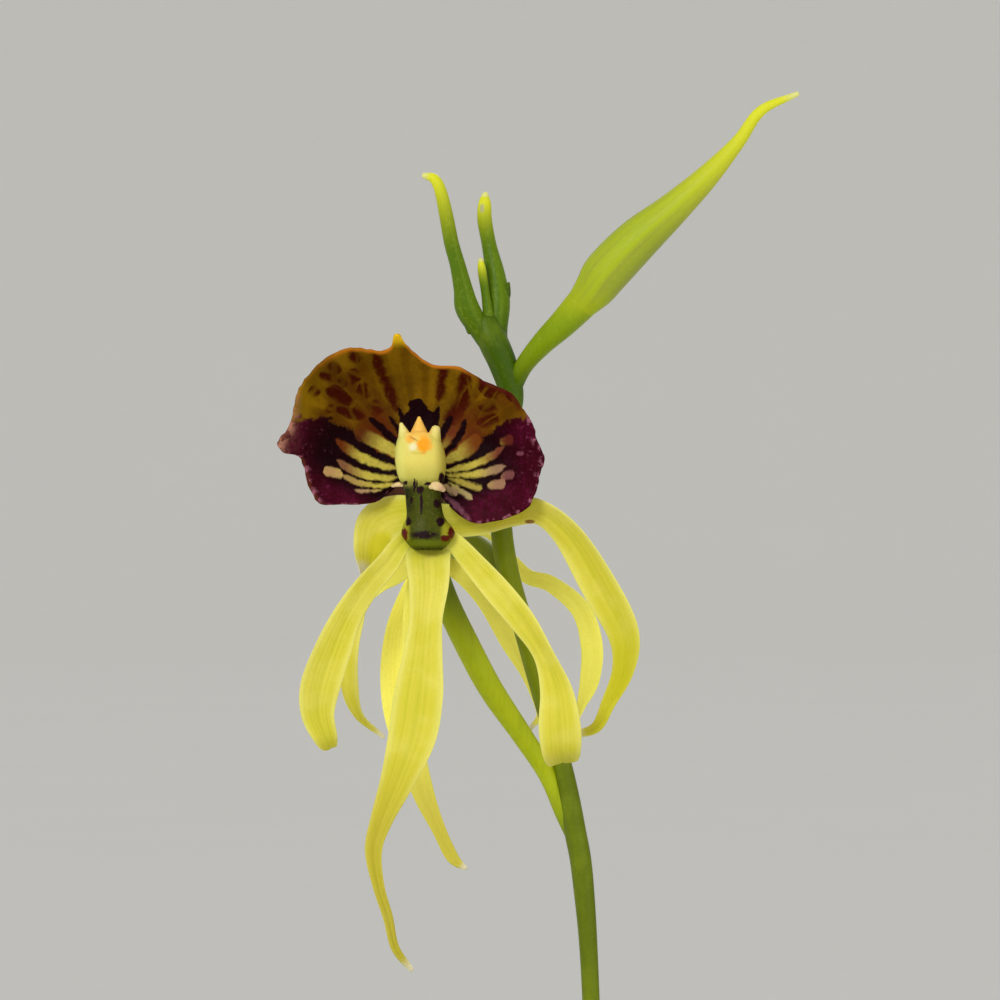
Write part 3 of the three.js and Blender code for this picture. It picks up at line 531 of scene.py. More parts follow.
class ORCHID_OT_bark(bpy.types.Operator):
    """Fills the pot with bark chips and tufts of moss"""
    bl_idname = "orchid.bark"
    bl_label = "Bark and moss"

    def execute(self, context):
        settings = context.scene.orchid_bark
        draw = random.Random(settings.seed)
        skin = new_skin()
        add_turned(skin, BARK_CORE, BARK_SIDES)

        laid = 0
        while laid < settings.chips:
            radius = BARK["reach"] * math.sqrt(draw.random())
            angle = 2 * math.pi * draw.random()
            x, y = radius * math.cos(angle), radius * math.sin(angle)
            if any(math.hypot(bulb["x"] - x, bulb["y"] - y) < BARK["stem_room"] for bulb in BULBS):
                continue
            size = Vector((draw.uniform(6, 15), draw.uniform(5, 9), draw.uniform(2.2, 4.6)))
            size *= min(1.0, (BARK["core_radius"] - radius + 5) / 8)
            turn = (
                Matrix.Rotation(draw.uniform(0, math.pi), 4, "Z")
                @ Matrix.Rotation(draw.uniform(-0.5, 0.5), 4, "X")
                @ Matrix.Rotation(draw.uniform(-0.5, 0.5), 4, "Y"))
            height = bark_surface(radius) + draw.uniform(-3.5, 1.5)
            shade = draw.random()
            ragged = Vector((draw.random(), draw.random(), draw.random())) * 50

            def shape(row, angle):
                along, broad = row
                across = math.copysign(abs(math.cos(angle)) ** CHIP_SQUARENESS, math.cos(angle)) * broad
                through = math.copysign(abs(math.sin(angle)) ** CHIP_SQUARENESS, math.sin(angle)) * broad
                spot = Vector((along * size.x, across * size.y, through * size.z)) / 2
                spot += noise.noise_vector(Vector((along, across, through)) * 1.2 + ragged) * 1.3
                return turn @ spot + Vector((x, y, height)), Vector((shade, 0, 0))

            add_wrapped(skin, CHIP_ENDS, CHIP_SIDES, shape)
            laid += 1
        finish_piece(skin, "bark_chips", bark_finish(settings), ["bark_medium"], smooth=False)

        moss = new_skin()
        for _ in range(settings.tufts):
            radius, angle = BARK["reach"] * math.sqrt(draw.uniform(0.25, 1)), 2 * math.pi * draw.random()
            centre = Vector((radius * math.cos(angle), radius * math.sin(angle), 0))
            for _ in range(BLADES_IN_TUFT):
                lean = Vector((draw.gauss(0, 1), draw.gauss(0, 1), 0))
                foot = centre + lean * 1.6
                if foot.length > BARK["core_radius"] - 1:
                    continue
                foot.z = bark_surface(foot.length) - 1.0
                tip = foot + lean * 1.1 + Vector((0, 0, draw.uniform(2.2, 4.8)))
                middle = (foot + tip) / 2 + Vector((0, 0, 0.6))
                stations = [(*foot, 0.55), (*middle, 0.6), (*tip, 0.2)]
                add_swept(moss, stations, round_section(), steps=3, sides=3, facing=(1, 0.2, 0.1))
        finish_piece(moss, "moss_tufts", moss_finish(settings), [])
        return {"FINISHED"}


# Bulbs, sheaths, creeping stem and roots

BULBS = [
    {"x": 12, "y": 3, "height": 88, "broad": 25, "narrow": 15, "turn": 80, "lean": (0, 0.5)},
    {"x": 33, "y": -5, "height": 56, "broad": 18, "narrow": 12, "turn": 60, "lean": (7, -3)},
    {"x": -9, "y": -3, "height": 84, "broad": 26, "narrow": 15, "turn": 100, "lean": (-3, -3)},
    {"x": -30, "y": 3, "height": 74, "broad": 24, "narrow": 14, "turn": 168, "lean": (-10, 2)},
    {"x": 14, "y": 27, "height": 66, "broad": 22, "narrow": 13, "turn": 25, "lean": (4, 8)},
]
BULB_FOOT = 95.0
# Height and radius of a bulb, as shares of its height and half its width
BULB_PROFILE = [
    (0, 0.42), (0.06, 0.6), (0.18, 0.86), (0.32, 1), (0.48, 0.94), (0.64, 0.76), (0.8, 0.55), (0.92, 0.38),
    (1, 0.27),
]
BULB_JOINTS = (0.52, 0.86)
BULB_SIDES, BULB_ROWS, BULB_FURROWS = 64, 70, 14
# Sheaths on a bulb: letter, side in degrees and how high they reach
SHEATHS = [("a", 90, 0.5), ("b", -90, 0.38)]
SHEATH_SPREAD = math.radians(80)
SHEATH_GAP = 1.1
SHEATH_THICKNESS = 0.45
SHEATH_SIDES, SHEATH_ROWS, SHEATH_PLEATS = 56, 34, 26
RHIZOME_HEIGHT = 96.0
RHIZOME = [
    (-36, 4, 95, 5), (-30, 3, 96, 7.5), (-19, -1, 95.5, 6.5), (-9, -3, 96, 7.5), (2, 0, 95.5, 6.5),
    (12, 3, 96, 7.5), (22, 0, 95.5, 6.5), (33, -5, 96, 7), (39, -7, 96.5, 4),
]
RHIZOME_JOINTS = 16
RHIZOME_BRANCH = [(12, 3, 95.5, 6), (12, 15, 95.5, 6), (14, 27, 96, 6.5)]
# Roots: where each leaves the creeping stem, its compass heading in degrees and its reach
ROOTS = [
    ((-30, 3), 140, 11), ((-26, 1), 262, 24), ((-19, -1), 80, 26), ((0, -1), 285, 30), ((20, 1), 300, 28),
    ((35, -5), 60, 12), ((3, 0), 100, 32),
]
# A root's share of its reach, rise over the creeping stem and diameter
ROOT_PATH = [(0, 0, 2.6), (0.3, 1, 2.6), (0.7, 0, 2.6), (1, -8, 2.6), (0.95, -24, 2.6), (0.75, -45, 1.8)]


def bulb_radius(share):
    heights = [height for height, _ in BULB_PROFILE]
    radii = [radius for _, radius in BULB_PROFILE]
    rounded = [np.interp(share + nudge, heights, radii) for nudge in (-0.04, 0, 0.04)]
    return sum(rounded) / len(rounded)


def bulb_point(bulb, share, angle, grow=0.0):
    """A point on a bulb's skin, or grown out from it."""
    radius = bulb_radius(share)
    across = (radius * bulb["broad"] / 2 + grow) * math.cos(angle)
    through = (radius * bulb["narrow"] / 2 + grow) * math.sin(angle)
    turn = math.radians(bulb["turn"])
    return Vector((
        bulb["x"] + across * math.cos(turn) - through * math.sin(turn) + bulb["lean"][0] * share ** 2,
        bulb["y"] + across * math.sin(turn) + through * math.cos(turn) + bulb["lean"][1] * share ** 2,
        BULB_FOOT + bulb["height"] * share))


def bulb_finish(settings):
    made = Finish("bulb_skin", roughness=0.42, specular=0.4, subsurface=0.08, depth=2.0)
    around, rise, turned = made.split(made.marks)
    streaks = made.noise(made.scaled((around, 9), (rise, 1.4), (turned, 9)), 1, 4)
    spots = made.noise(made.place, 420, 4, 0.6)
    colour = made.coats(
        settings.bulb_dark,
        (settings.bulb, streaks, 0.35, 0.66),
        ("#a9a355", rise, 0.55, 0.0, 0.45),
        ("#8d7a4a", rise, 0.9, 1.0, 0.7),
        ("#6a5a2c", spots, 0.62, 0.8, 0.55))
    relief = made.add(streaks, made.times(spots, 0.3))
    return made.done(colour, relief, 0.45, 0.8, made.between(spots, 0.3, 0.8, 0.34, 0.6))


def sheath_finish(settings):
    made = Finish("papery_sheath", roughness=0.8, specular=0.25, subsurface=0.1, depth=0.8)
    across, rise, _ = made.split(made.marks)
    fibres = made.noise(made.point(made.times(across, 34), made.times(rise, 2.2), 0.0), 1, 4, 0.6)
    veins = made.noise(made.point(made.times(across, 9), made.times(rise, 0.8), 5.0), 1, 3, 0.6)
    stains = made.noise(made.place, 160, 4, 0.6)
    colour = made.coats(
        "#ab9064",
        (settings.sheath, fibres, 0.3, 0.7),
        ("#8c6a3e", veins, 0.56, 0.66, 0.7),
        ("#e6d8b4", veins, 0.42, 0.34, 0.6),
        ("#745430", stains, 0.56, 0.72, 0.55),
        ("#e4d3ac", rise, 0.7, 1.0, 0.7))
    colour = made.coats(colour, ("#dcc89c", made.size_of(across), 0.75, 1.0, 0.5))
    return made.done(colour, made.add(fibres, made.times(veins, 1.5)), 0.5, 1.0)


def root_finish(settings):
    made = Finish("root_skin", roughness=0.7, specular=0.3)
    _, along, _ = made.split(made.marks)
    patches = made.noise(made.place, 260, 4, 0.6)
    grain = made.noise(made.stretch(made.place, 900, 900, 900), 1, 3)
    colour = made.coats(
        settings.root,
        (settings.root_tip, patches, 0.38, 0.66),
        ("#8a6c44", grain, 0.58, 0.75, 0.6),
        ("#7a5c3a", along, 0.75, 1.0, 0.5))
    return made.done(colour, made.add(patches, made.times(grain, 0.5)), 0.3, 0.7)


class ORCHID_OT_bulbs(bpy.types.Operator):
    """Grows the bulbs, with their furrows and joints"""
    bl_idname = "orchid.bulbs"
    bl_label = "Bulbs"

    def execute(self, context):
        skin_material = bulb_finish(context.scene.orchid_plant)
        rows = [(0, 0)] + [(share, 1) for share in np.linspace(0, 1, BULB_ROWS)] + [(1.006, 0.6), (1.01, 0)]
        for number, bulb in enumerate(BULBS, start=1):
            def shape(row, angle, bulb=bulb, number=number):
                share, shrink = row
                spot = Vector((4.2 * math.cos(angle), 4.2 * math.sin(angle), share * 2 + number))
                furrow = 0.35 * noise.noise(spot) + 0.16 * math.cos(BULB_FURROWS * angle + 2 * number)
                furrow *= min(1.0, 4 * share + 0.2) * (1 - 0.5 * share)
                joint = 0.35 * sum(math.exp(-((share - ring) / 0.012) ** 2) for ring in BULB_JOINTS)
                outer = bulb_point(bulb, share, angle, furrow - 0.15 + joint)
                middle = bulb_point(bulb, share, 0, 0) + bulb_point(bulb, share, math.pi, 0)
                point = middle / 2 + (outer - middle / 2) * shrink
                return point, Vector((math.cos(angle), share, math.sin(angle)))
            skin = new_skin()
            add_wrapped(skin, rows, BULB_SIDES, shape)
            finish_piece(skin, f"bulb_{number}", skin_material, [f"pseudobulb_{number}"])
        return {"FINISHED"}


class ORCHID_OT_sheaths(bpy.types.Operator):
    """Wraps the papery sheaths round the bulbs"""
    bl_idname = "orchid.sheaths"
    bl_label = "Papery sheaths"

    def execute(self, context):
        material = sheath_finish(context.scene.orchid_plant)
        for number, bulb in enumerate(BULBS, start=1):
            for letter, side, top in SHEATHS:
                def shape(row, angle, bulb=bulb, side=side, top=top, number=number):
                    rise, thick = row
                    torn = 0.05 * noise.noise(Vector((6 * math.cos(angle), number, 0.0)))
                    share = 0.02 + (top - 0.02) * rise * (1 + torn * rise)
                    reach = SHEATH_SPREAD * math.sqrt(1.02 - rise)
                    around = math.radians(side) + reach * math.cos(angle)
                    curl = 0.5 * rise ** 4 + 0.12 * math.sin(SHEATH_PLEATS * around) * rise
                    grow = SHEATH_GAP + 0.35 + curl + SHEATH_THICKNESS / 2 * math.sin(angle) * thick
                    marks = Vector((math.cos(angle), rise, math.sin(angle)))
                    return bulb_point(bulb, share, around, grow), marks

                skin = new_skin()
                rows = [(0, 0)] + [(rise, 1) for rise in np.linspace(0, 1, SHEATH_ROWS)] + [(1, 0)]
                add_wrapped(skin, rows, SHEATH_SIDES, shape)
                finish_piece(
                    skin, f"dry_sheath_{number}{letter}", material,
                    [f"sheath_{number}{letter}"])
        return {"FINISHED"}


class ORCHID_OT_roots(bpy.types.Operator):
    """Lays the creeping stem and its roots on the bark"""
    bl_idname = "orchid.roots"
    bl_label = "Creeping stem and roots"

    def execute(self, context):
        skin = new_skin()

        def stem_section(place, angle):
            joint = 0.05 * math.cos(place.share * 2 * math.pi * RHIZOME_JOINTS)
            swell = 1 + joint + 0.03 * math.cos(5 * angle)
            return place.size / 2 * swell * math.cos(angle), place.size / 2 * swell * math.sin(angle)

        add_swept(skin, RHIZOME, stem_section, steps=120, sides=20, facing=(0, 0, 1), cap=2)
        add_swept(skin, RHIZOME_BRANCH, stem_section, steps=40, sides=20, facing=(0, 0, 1), cap=2)
        for (x, y), heading, reach in ROOTS:
            compass = math.radians(heading)
            outward = Vector((math.cos(compass), math.sin(compass), 0)) * reach
            stations = [
                (x + outward.x * share, y + outward.y * share, RHIZOME_HEIGHT + rise, size)
                for share, rise, size in ROOT_PATH]
            add_swept(skin, stations, round_section(3, 0.04), steps=48, sides=14, facing=(1, 0, 0.4), cap=1)
        finish_piece(
            skin, "creeping_stem_and_roots", root_finish(context.scene.orchid_plant),
            ["rhizome_and_roots"])
        return {"FINISHED"}


# Leaves: bulb, side of it, length, width, lean at foot and tip in degrees, sway in degrees

LEAVES = {
    "1a": (0, 1, 170, 31, (12, 100), -12),
    "1b": (0, -1, 158, 30, (14, 104), 30),
    "2a": (1, 1, 118, 24, (12, 62), -48),
    "2b": (1, -1, 126, 25, (14, 78), 68),
    "3a": (2, 1, 165, 32, (12, 96), 28),
    "3b": (2, -1, 172, 31, (14, 112), -66),
    "4a": (3, 1, 150, 29, (18, 108), 16),
    "5a": (4, 1, 140, 28, (16, 102), 18),
}
LEAF_OUTLINE = [0.26, 0.5, 0.84, 1, 0.98, 0.84, 0.56, 0.1]
LEAF_THICKNESS = 0.9
SPIKE_ROOM = 5.2
LEAF_PAIR_ROOM = 2.2
LEAF_RISE = -0.5


def leaf_finish(settings):
    made = Finish("leaf_skin", roughness=0.38, specular=0.45, subsurface=0.06, depth=1.2)
    across, along, face = made.split(made.marks)
    veins = made.noise(made.point(made.times(across, 30), made.times(along, 1.2), 0.0), 1, 2)
    fine = made.math("SINE", made.times(across, 55.0))
    blotches = made.noise(made.place, 60, 4)
    midrib = made.between(made.size_of(across), 0.05, 0.0)
    colour = made.coats(
        settings.leaf,
        ("#5f8f2c", blotches, 0.3, 0.7),
        (settings.leaf_light, veins, 0.4, 0.72, 0.4))
    colour = made.mix(made.times(midrib, 0.7), colour, settings.leaf_light)
    colour = made.coats(
        colour,
        ("#a5b065", along, 0.12, 0.0, 0.8),
        ("#8d7436", along, 0.97, 1.0, 0.8))
    colour = made.coats(
        colour,
        ("#9ab04e", made.size_of(across), 0.93, 1.0, 0.5),
        (settings.leaf_light, face, 0.1, -0.3, 0.45))
    relief = made.add(made.times(fine, 0.25), made.add(veins, made.times(blotches, 0.5)))
    return made.done(colour, relief, 0.18, 0.6, made.between(blotches, 0.3, 0.7, 0.32, 0.46))


def leaf_stations(leaf):
    """The line of a leaf from the top of its bulb, rising and then arching over."""
    index, side, length, width, lean, sway = leaf
    bulb = BULBS[index]
    start = math.radians(bulb["turn"] + (180 if side < 0 else 0))
    spread = SPIKE_ROOM if index == 0 else LEAF_PAIR_ROOM
    point = Vector((
        bulb["x"] + bulb["lean"][0] + spread * math.cos(start),
        bulb["y"] + bulb["lean"][1] + spread * math.sin(start),
        BULB_FOOT + bulb["height"] + LEAF_RISE))
    spans = len(LEAF_OUTLINE) - 1
    stations = []
    for k, share in enumerate(LEAF_OUTLINE):
        if k:
            along = (k - 0.5) / spans
            tilt = math.radians(lean[0] + (lean[1] - lean[0]) * along ** 1.2)
            compass = start + math.radians(sway * along)
            point = point + Vector((
                math.sin(tilt) * math.cos(compass), math.sin(tilt) * math.sin(compass),
                math.cos(tilt))) * (length / spans)
        stations.append((*point, width * share))
    return stations, (-math.cos(start), -math.sin(start), 0)


class ORCHID_OT_leaves(bpy.types.Operator):
    """Grows the strap leaves from the tops of the bulbs"""
    bl_idname = "orchid.leaves"
    bl_label = "Leaves"

    def execute(self, context):
        material = leaf_finish(context.scene.orchid_plant)
        for name, leaf in LEAVES.items():
            stations, facing = leaf_stations(leaf)
            waves = 2.0 + leaf[3] % 3
            section = blade_section(0.35, LEAF_THICKNESS, midrib=0.7, ruffle=0.7, waves=waves)
            skin = new_skin()
            add_swept(skin, stations, section, steps=90, sides=40, facing=facing, cap=0.6)
            finish_piece(skin, f"strap_leaf_{name}", material, [f"leaf_{name}"])
        return {"FINISHED"}


# Spike: its stem, bracts, stalks and buds, as x, y, z and diameter

SPIKE = [
    (12, 3.5, 183.6, 3.4), (12.6, 3, 215, 3.0), (12, 2, 250, 2.7), (11.2, 1, 285, 2.3), (10.2, 0, 319, 2.0),
    (9.3, 0, 332.5, 2.4), (8.4, 0, 338.1, 2.5), (7.3, 0, 343.7, 2.4), (5.8, 0, 349.5, 2.3),
    (4.1, 0, 355.4, 2.3), (2.5, 0, 361.3, 2.4), (1.0, 0, 366.6, 2.5), (0.2, 0, 371.6, 2.5),
    (0.1, 0, 377.2, 2.5), (0.7, 0, 382.8, 2.6), (1.3, 0, 386.7, 2.8), (0.4, 0, 390.1, 3.2),
    (-0.9, 0, 393.1, 3.4), (-1.5, 0, 394.8, 2.8),
]
# Bracts: foot, direction, length and width
BRACTS = [
    ((12.4, 3.8, 222), (0.16, 0.2, 1), 13, 4.4), ((11.9, 1.0, 262), (-0.12, -0.2, 1), 11, 3.8),
    ((10.9, 1.4, 300), (0.12, 0.2, 1), 9, 3.2), ((8.2, 1.0, 338.0), (-0.4, 0.5, 1), 3.0, 2.2),
    ((2.0, 1.3, 361.0), (-0.2, 0.7, 1), 2.8, 2.2), ((0.9, 1.3, 385.6), (-0.1, 0.8, 1), 2.8, 2.2),
    ((0.75, 0.7, 397.2), (0.12, -0.2, 1), 2.2, 1.3), ((-3.5, -0.4, 393.8), (-0.35, -0.2, 1), 2.2, 1.7),
]
BRACT_OUTLINE = [0.75, 1, 0.7, 0.1]
SPATHE = [
    (12, 0.6, 184.3, 5.5), (12.1, 0.2, 196, 7), (12.3, 0, 212, 6.4), (12.6, -0.2, 226, 4.2),
    (12.8, -0.6, 238, 0.8),
]
PEDICELS = {
    "pedicel_front": [
        (8.4, 0.3, 336.4, 1.2), (7.1, 0.3, 339.8, 1.8), (5.3, 0.0, 344.3, 2.1), (2.4, -2.2, 348.9, 2.4),
        (-1.0, -4, 354.0, 2.8), (-3.8, -5, 359.3, 2.9), (-5.9, -5.8, 363.8, 2.8), (-7.2, -6.4, 367.6, 2.7),
        (-7.9, -7.6, 370.0, 2.6), (-7.9, -9.1, 370.5, 2.4),
    ],
    "pedicel_rear": [
        (2.0, -0.3, 361.5, 1.6), (1.6, 0, 363.3, 2.0), (0.0, 1.7, 366.9, 2.5), (-1.9, 5, 369.4, 2.7),
        (-3.6, 9, 369.6, 2.6), (-4.9, 11.6, 369.4, 2.4),
    ],
    "pedicel_bud": [
        (0.9, 0.3, 385.4, 1.6), (1.4, 0, 387.3, 2.0), (2.7, -1, 390.0, 2.1), (4.7, -2.5, 392.4, 2.6),
        (7.0, -4, 394.6, 3.2), (9.1, -4.9, 396.8, 3.7),
    ],
}
BUDS = {
    "bud_large": [
        (8.6, -4.75, 396.2, 3.3), (9.5, -5.05, 397.2, 3.95), (10.7, -5.5, 398.6, 4.8),
        (12.0, -6, 400.4, 5.3), (15.2, -7, 403.7, 5.0), (19.1, -8, 407.1, 3.8), (22.9, -9, 410.7, 2.7),
        (26.3, -10, 414.5, 1.6), (28.8, -10.5, 417.9, 1.2), (32.7, -11, 419.7, 0.6),
    ],
    "bud_left": [
        (0.4, 0.1, 388.8, 1.2), (-0.7, 0, 391.4, 1.9), (-2.2, 0, 394.0, 2.4), (-3.6, -0.4, 396.4, 2.8),
        (-4.1, -0.8, 398.6, 2.2), (-4.7, -1.2, 401.2, 1.8), (-5.4, -1.5, 403.7, 1.7),
        (-6.0, -2, 406.8, 1.6), (-6.6, -2, 409.4, 1.4), (-7.3, -2, 410.8, 1.2), (-8.4, -2, 411.2, 0.7),
    ],
    "bud_middle": [
        (0.3, 0.1, 390.0, 1.6), (-0.3, 0.5, 393.8, 2.4), (-0.2, 1, 397.2, 2.8), (-0.5, 1.5, 400.2, 2.3),
        (-1.2, 2, 403.6, 1.7), (-1.7, 2, 406.4, 1.7), (-1.7, 2, 408.2, 1.5), (-1.65, 2, 409.2, 0.8),
    ],
    "bud_small": [
        (-0.9, -0.2, 392.4, 1.1), (-1.2, -0.4, 395.0, 1.3), (-1.6, -0.3, 398.0, 1.0),
        (-2.0, -0.2, 400.6, 1.0), (-2.15, -0.2, 401.8, 0.6),
    ],
}


def stem_finish(name, foot, *bands):
    """Green skin of a stem or stalk. Each band is a start and end height in millimetres and a colour."""
    made = Finish(name, roughness=0.42, specular=0.14, subsurface=0.08, depth=1.2)
    _, _, height = made.split(made.place)
    mottle = made.noise(made.place, 340, 4)
    specks = made.noise(made.place, 2600, 3, 0.6)
    streaks = made.noise(made.stretch(made.place, 2400, 2400, 130), 1, 3)
    colour = foot
    for start, end, shade in bands:
        colour = made.mix(made.between(height, start * MM, end * MM), colour, shade)
    colour = made.coats(
        colour,
        ("#93a41c", mottle, 0.4, 0.7, 0.2),
        ("#3c5202", streaks, 0.45, 0.75, 0.14),
        ("#b4c048", specks, 0.55, 0.75, 0.12))
    relief = made.add(streaks, made.times(specks, 0.4))
    return made.done(colour, relief, 0.05, 0.6)


# Pale scar beside the tip of the middle bud: x, z, half width and half height
BUD_SCAR = (-2.0, 407.7, 0.22, 0.5)


def bud_finish(name, foot, skin, facet_and_shade, tip, yellow_from):
    """Skin of a bud: its foot, its skin, a greyer tone for the facets between its seams that is also painted
    shade on its right side, and its yellow tip.
    """
    made = Finish(name, roughness=0.42, specular=0.14, subsurface=0.1, depth=1.2)
    around, along, turned = made.split(made.marks)
    streaks = made.noise(made.scaled((around, 2.4), (along, 0.9), (turned, 2.4)), 1, 3)
    cells = made.noise(made.place, 2400, 3)
    colour = made.coats(skin, (facet_and_shade, streaks, 0.38, 0.64, 0.6))
    # Painted shade: the bud's right side, above its foot, is darkened with the greyer colour
    right = made.times(made.between(around, -0.2, 0.7), made.between(along, 0.12, 0.3))
    colour = made.mix(made.times(right, 0.55), colour, facet_and_shade)
    colour = made.coats(colour, (foot, along, 0.3, 0.0))
    colour = made.mix(made.between(along, yellow_from, 0.92), colour, tip)
    colour = made.coats(
        colour,
        ("#c8d060", cells, 0.5, 0.75, 0.12),
        ("#d8d6a0", along, 0.95, 1.0, 0.6))
    x, _, z = made.split(made.place)
    scar = ellipse(made, made.times(x, 1 / MM), made.times(z, 1 / MM), BUD_SCAR, 0.4)
    colour = made.mix(made.times(scar, 0.8), colour, "#a8a488")
    return made.done(colour, made.add(streaks, made.times(cells, 0.2)), 0.06, 0.6)


class ORCHID_OT_spike(bpy.types.Operator):
    """Raises the flower spike with its bracts, stalks and papery spathe"""
    bl_idname = "orchid.spike"
    bl_label = "Flower spike"

    def execute(self, context):
        settings = context.scene.orchid_spike
        skin = new_skin()
        add_swept(skin, SPIKE, round_section(5, 0.05), steps=260, sides=28, cap=1.2)
        for foot, way, length, width in BRACTS:
            along = Vector(way).normalized()
            outward = Vector((way[0], way[1], 0)).normalized()
            last = len(BRACT_OUTLINE) - 1
            stations = [
                (*(Vector(foot) + along * (length * k / last)), width * share)
                for k, share in enumerate(BRACT_OUTLINE)]
            add_swept(skin, stations, blade_section(0.7, 0.4), steps=16, sides=20, facing=tuple(-outward))
        stem = stem_finish(
            "spike_stem_skin", settings.stem, (346, 360, settings.stem_lit), (366, 380, settings.stem_dark))
        finish_piece(skin, "flower_stem", stem, ["spike_stem"])

        # Front stalk: a brighter middle, and its top under the flower darkened back to the stem's colour as
        # painted shade
        front = stem_finish(
            "front_stalk_skin", "#7c8c06", (337, 345, settings.stalk), (356, 366, settings.stem))
        rear = stem_finish("rear_stalk_skin", settings.stem_lit, (363, 371, "#808c14"))
        bud = stem_finish(
            "bud_stalk_skin", settings.stem_dark, (387, 392, "#7f960a"), (394, 397.6, "#a0ac12"))
        for (name, stations), material in zip(PEDICELS.items(), (front, rear, bud)):
            skin = new_skin()
            add_swept(skin, stations, round_section(3, 0.05), steps=60, sides=28, cap=1)
            finish_piece(skin, f"stalk_{name}", material, [name])

        skin = new_skin()
        section = blade_section(0.75, 0.45, ruffle=0.25, waves=4)
        add_swept(skin, SPATHE, section, steps=60, sides=40, facing=(0, 1, 0))
        paper = sheath_finish(context.scene.orchid_plant)
        finish_piece(skin, "dry_spathe", paper, ["spathe"])
        return {"FINISHED"}


class ORCHID_OT_buds(bpy.types.Operator):
    """Shapes the closed buds, with the seams between their sepals"""
    bl_idname = "orchid.buds"
    bl_label = "Buds"

    def execute(self, context):
        settings = context.scene.orchid_spike
        large = bud_finish("large_bud_skin", "#a0ac12", settings.bud, "#8a9038", settings.bud_tip, 0.45)
        young = bud_finish(
            "young_bud_skin", settings.stem_dark, settings.bud_green, "#66800a", settings.bud_tip, 0.55)
        for name, stations in BUDS.items():
            material = large if name == "bud_large" else young
            skin = new_skin()
            add_swept(skin, stations, round_section(3, 0.05), steps=90, sides=36, cap=1)
            finish_piece(skin, f"closed_{name}", material, [name])
        return {"FINISHED"}


# Flowers: sepals and petals, as x, y, z, width and turn from the middle of their flower

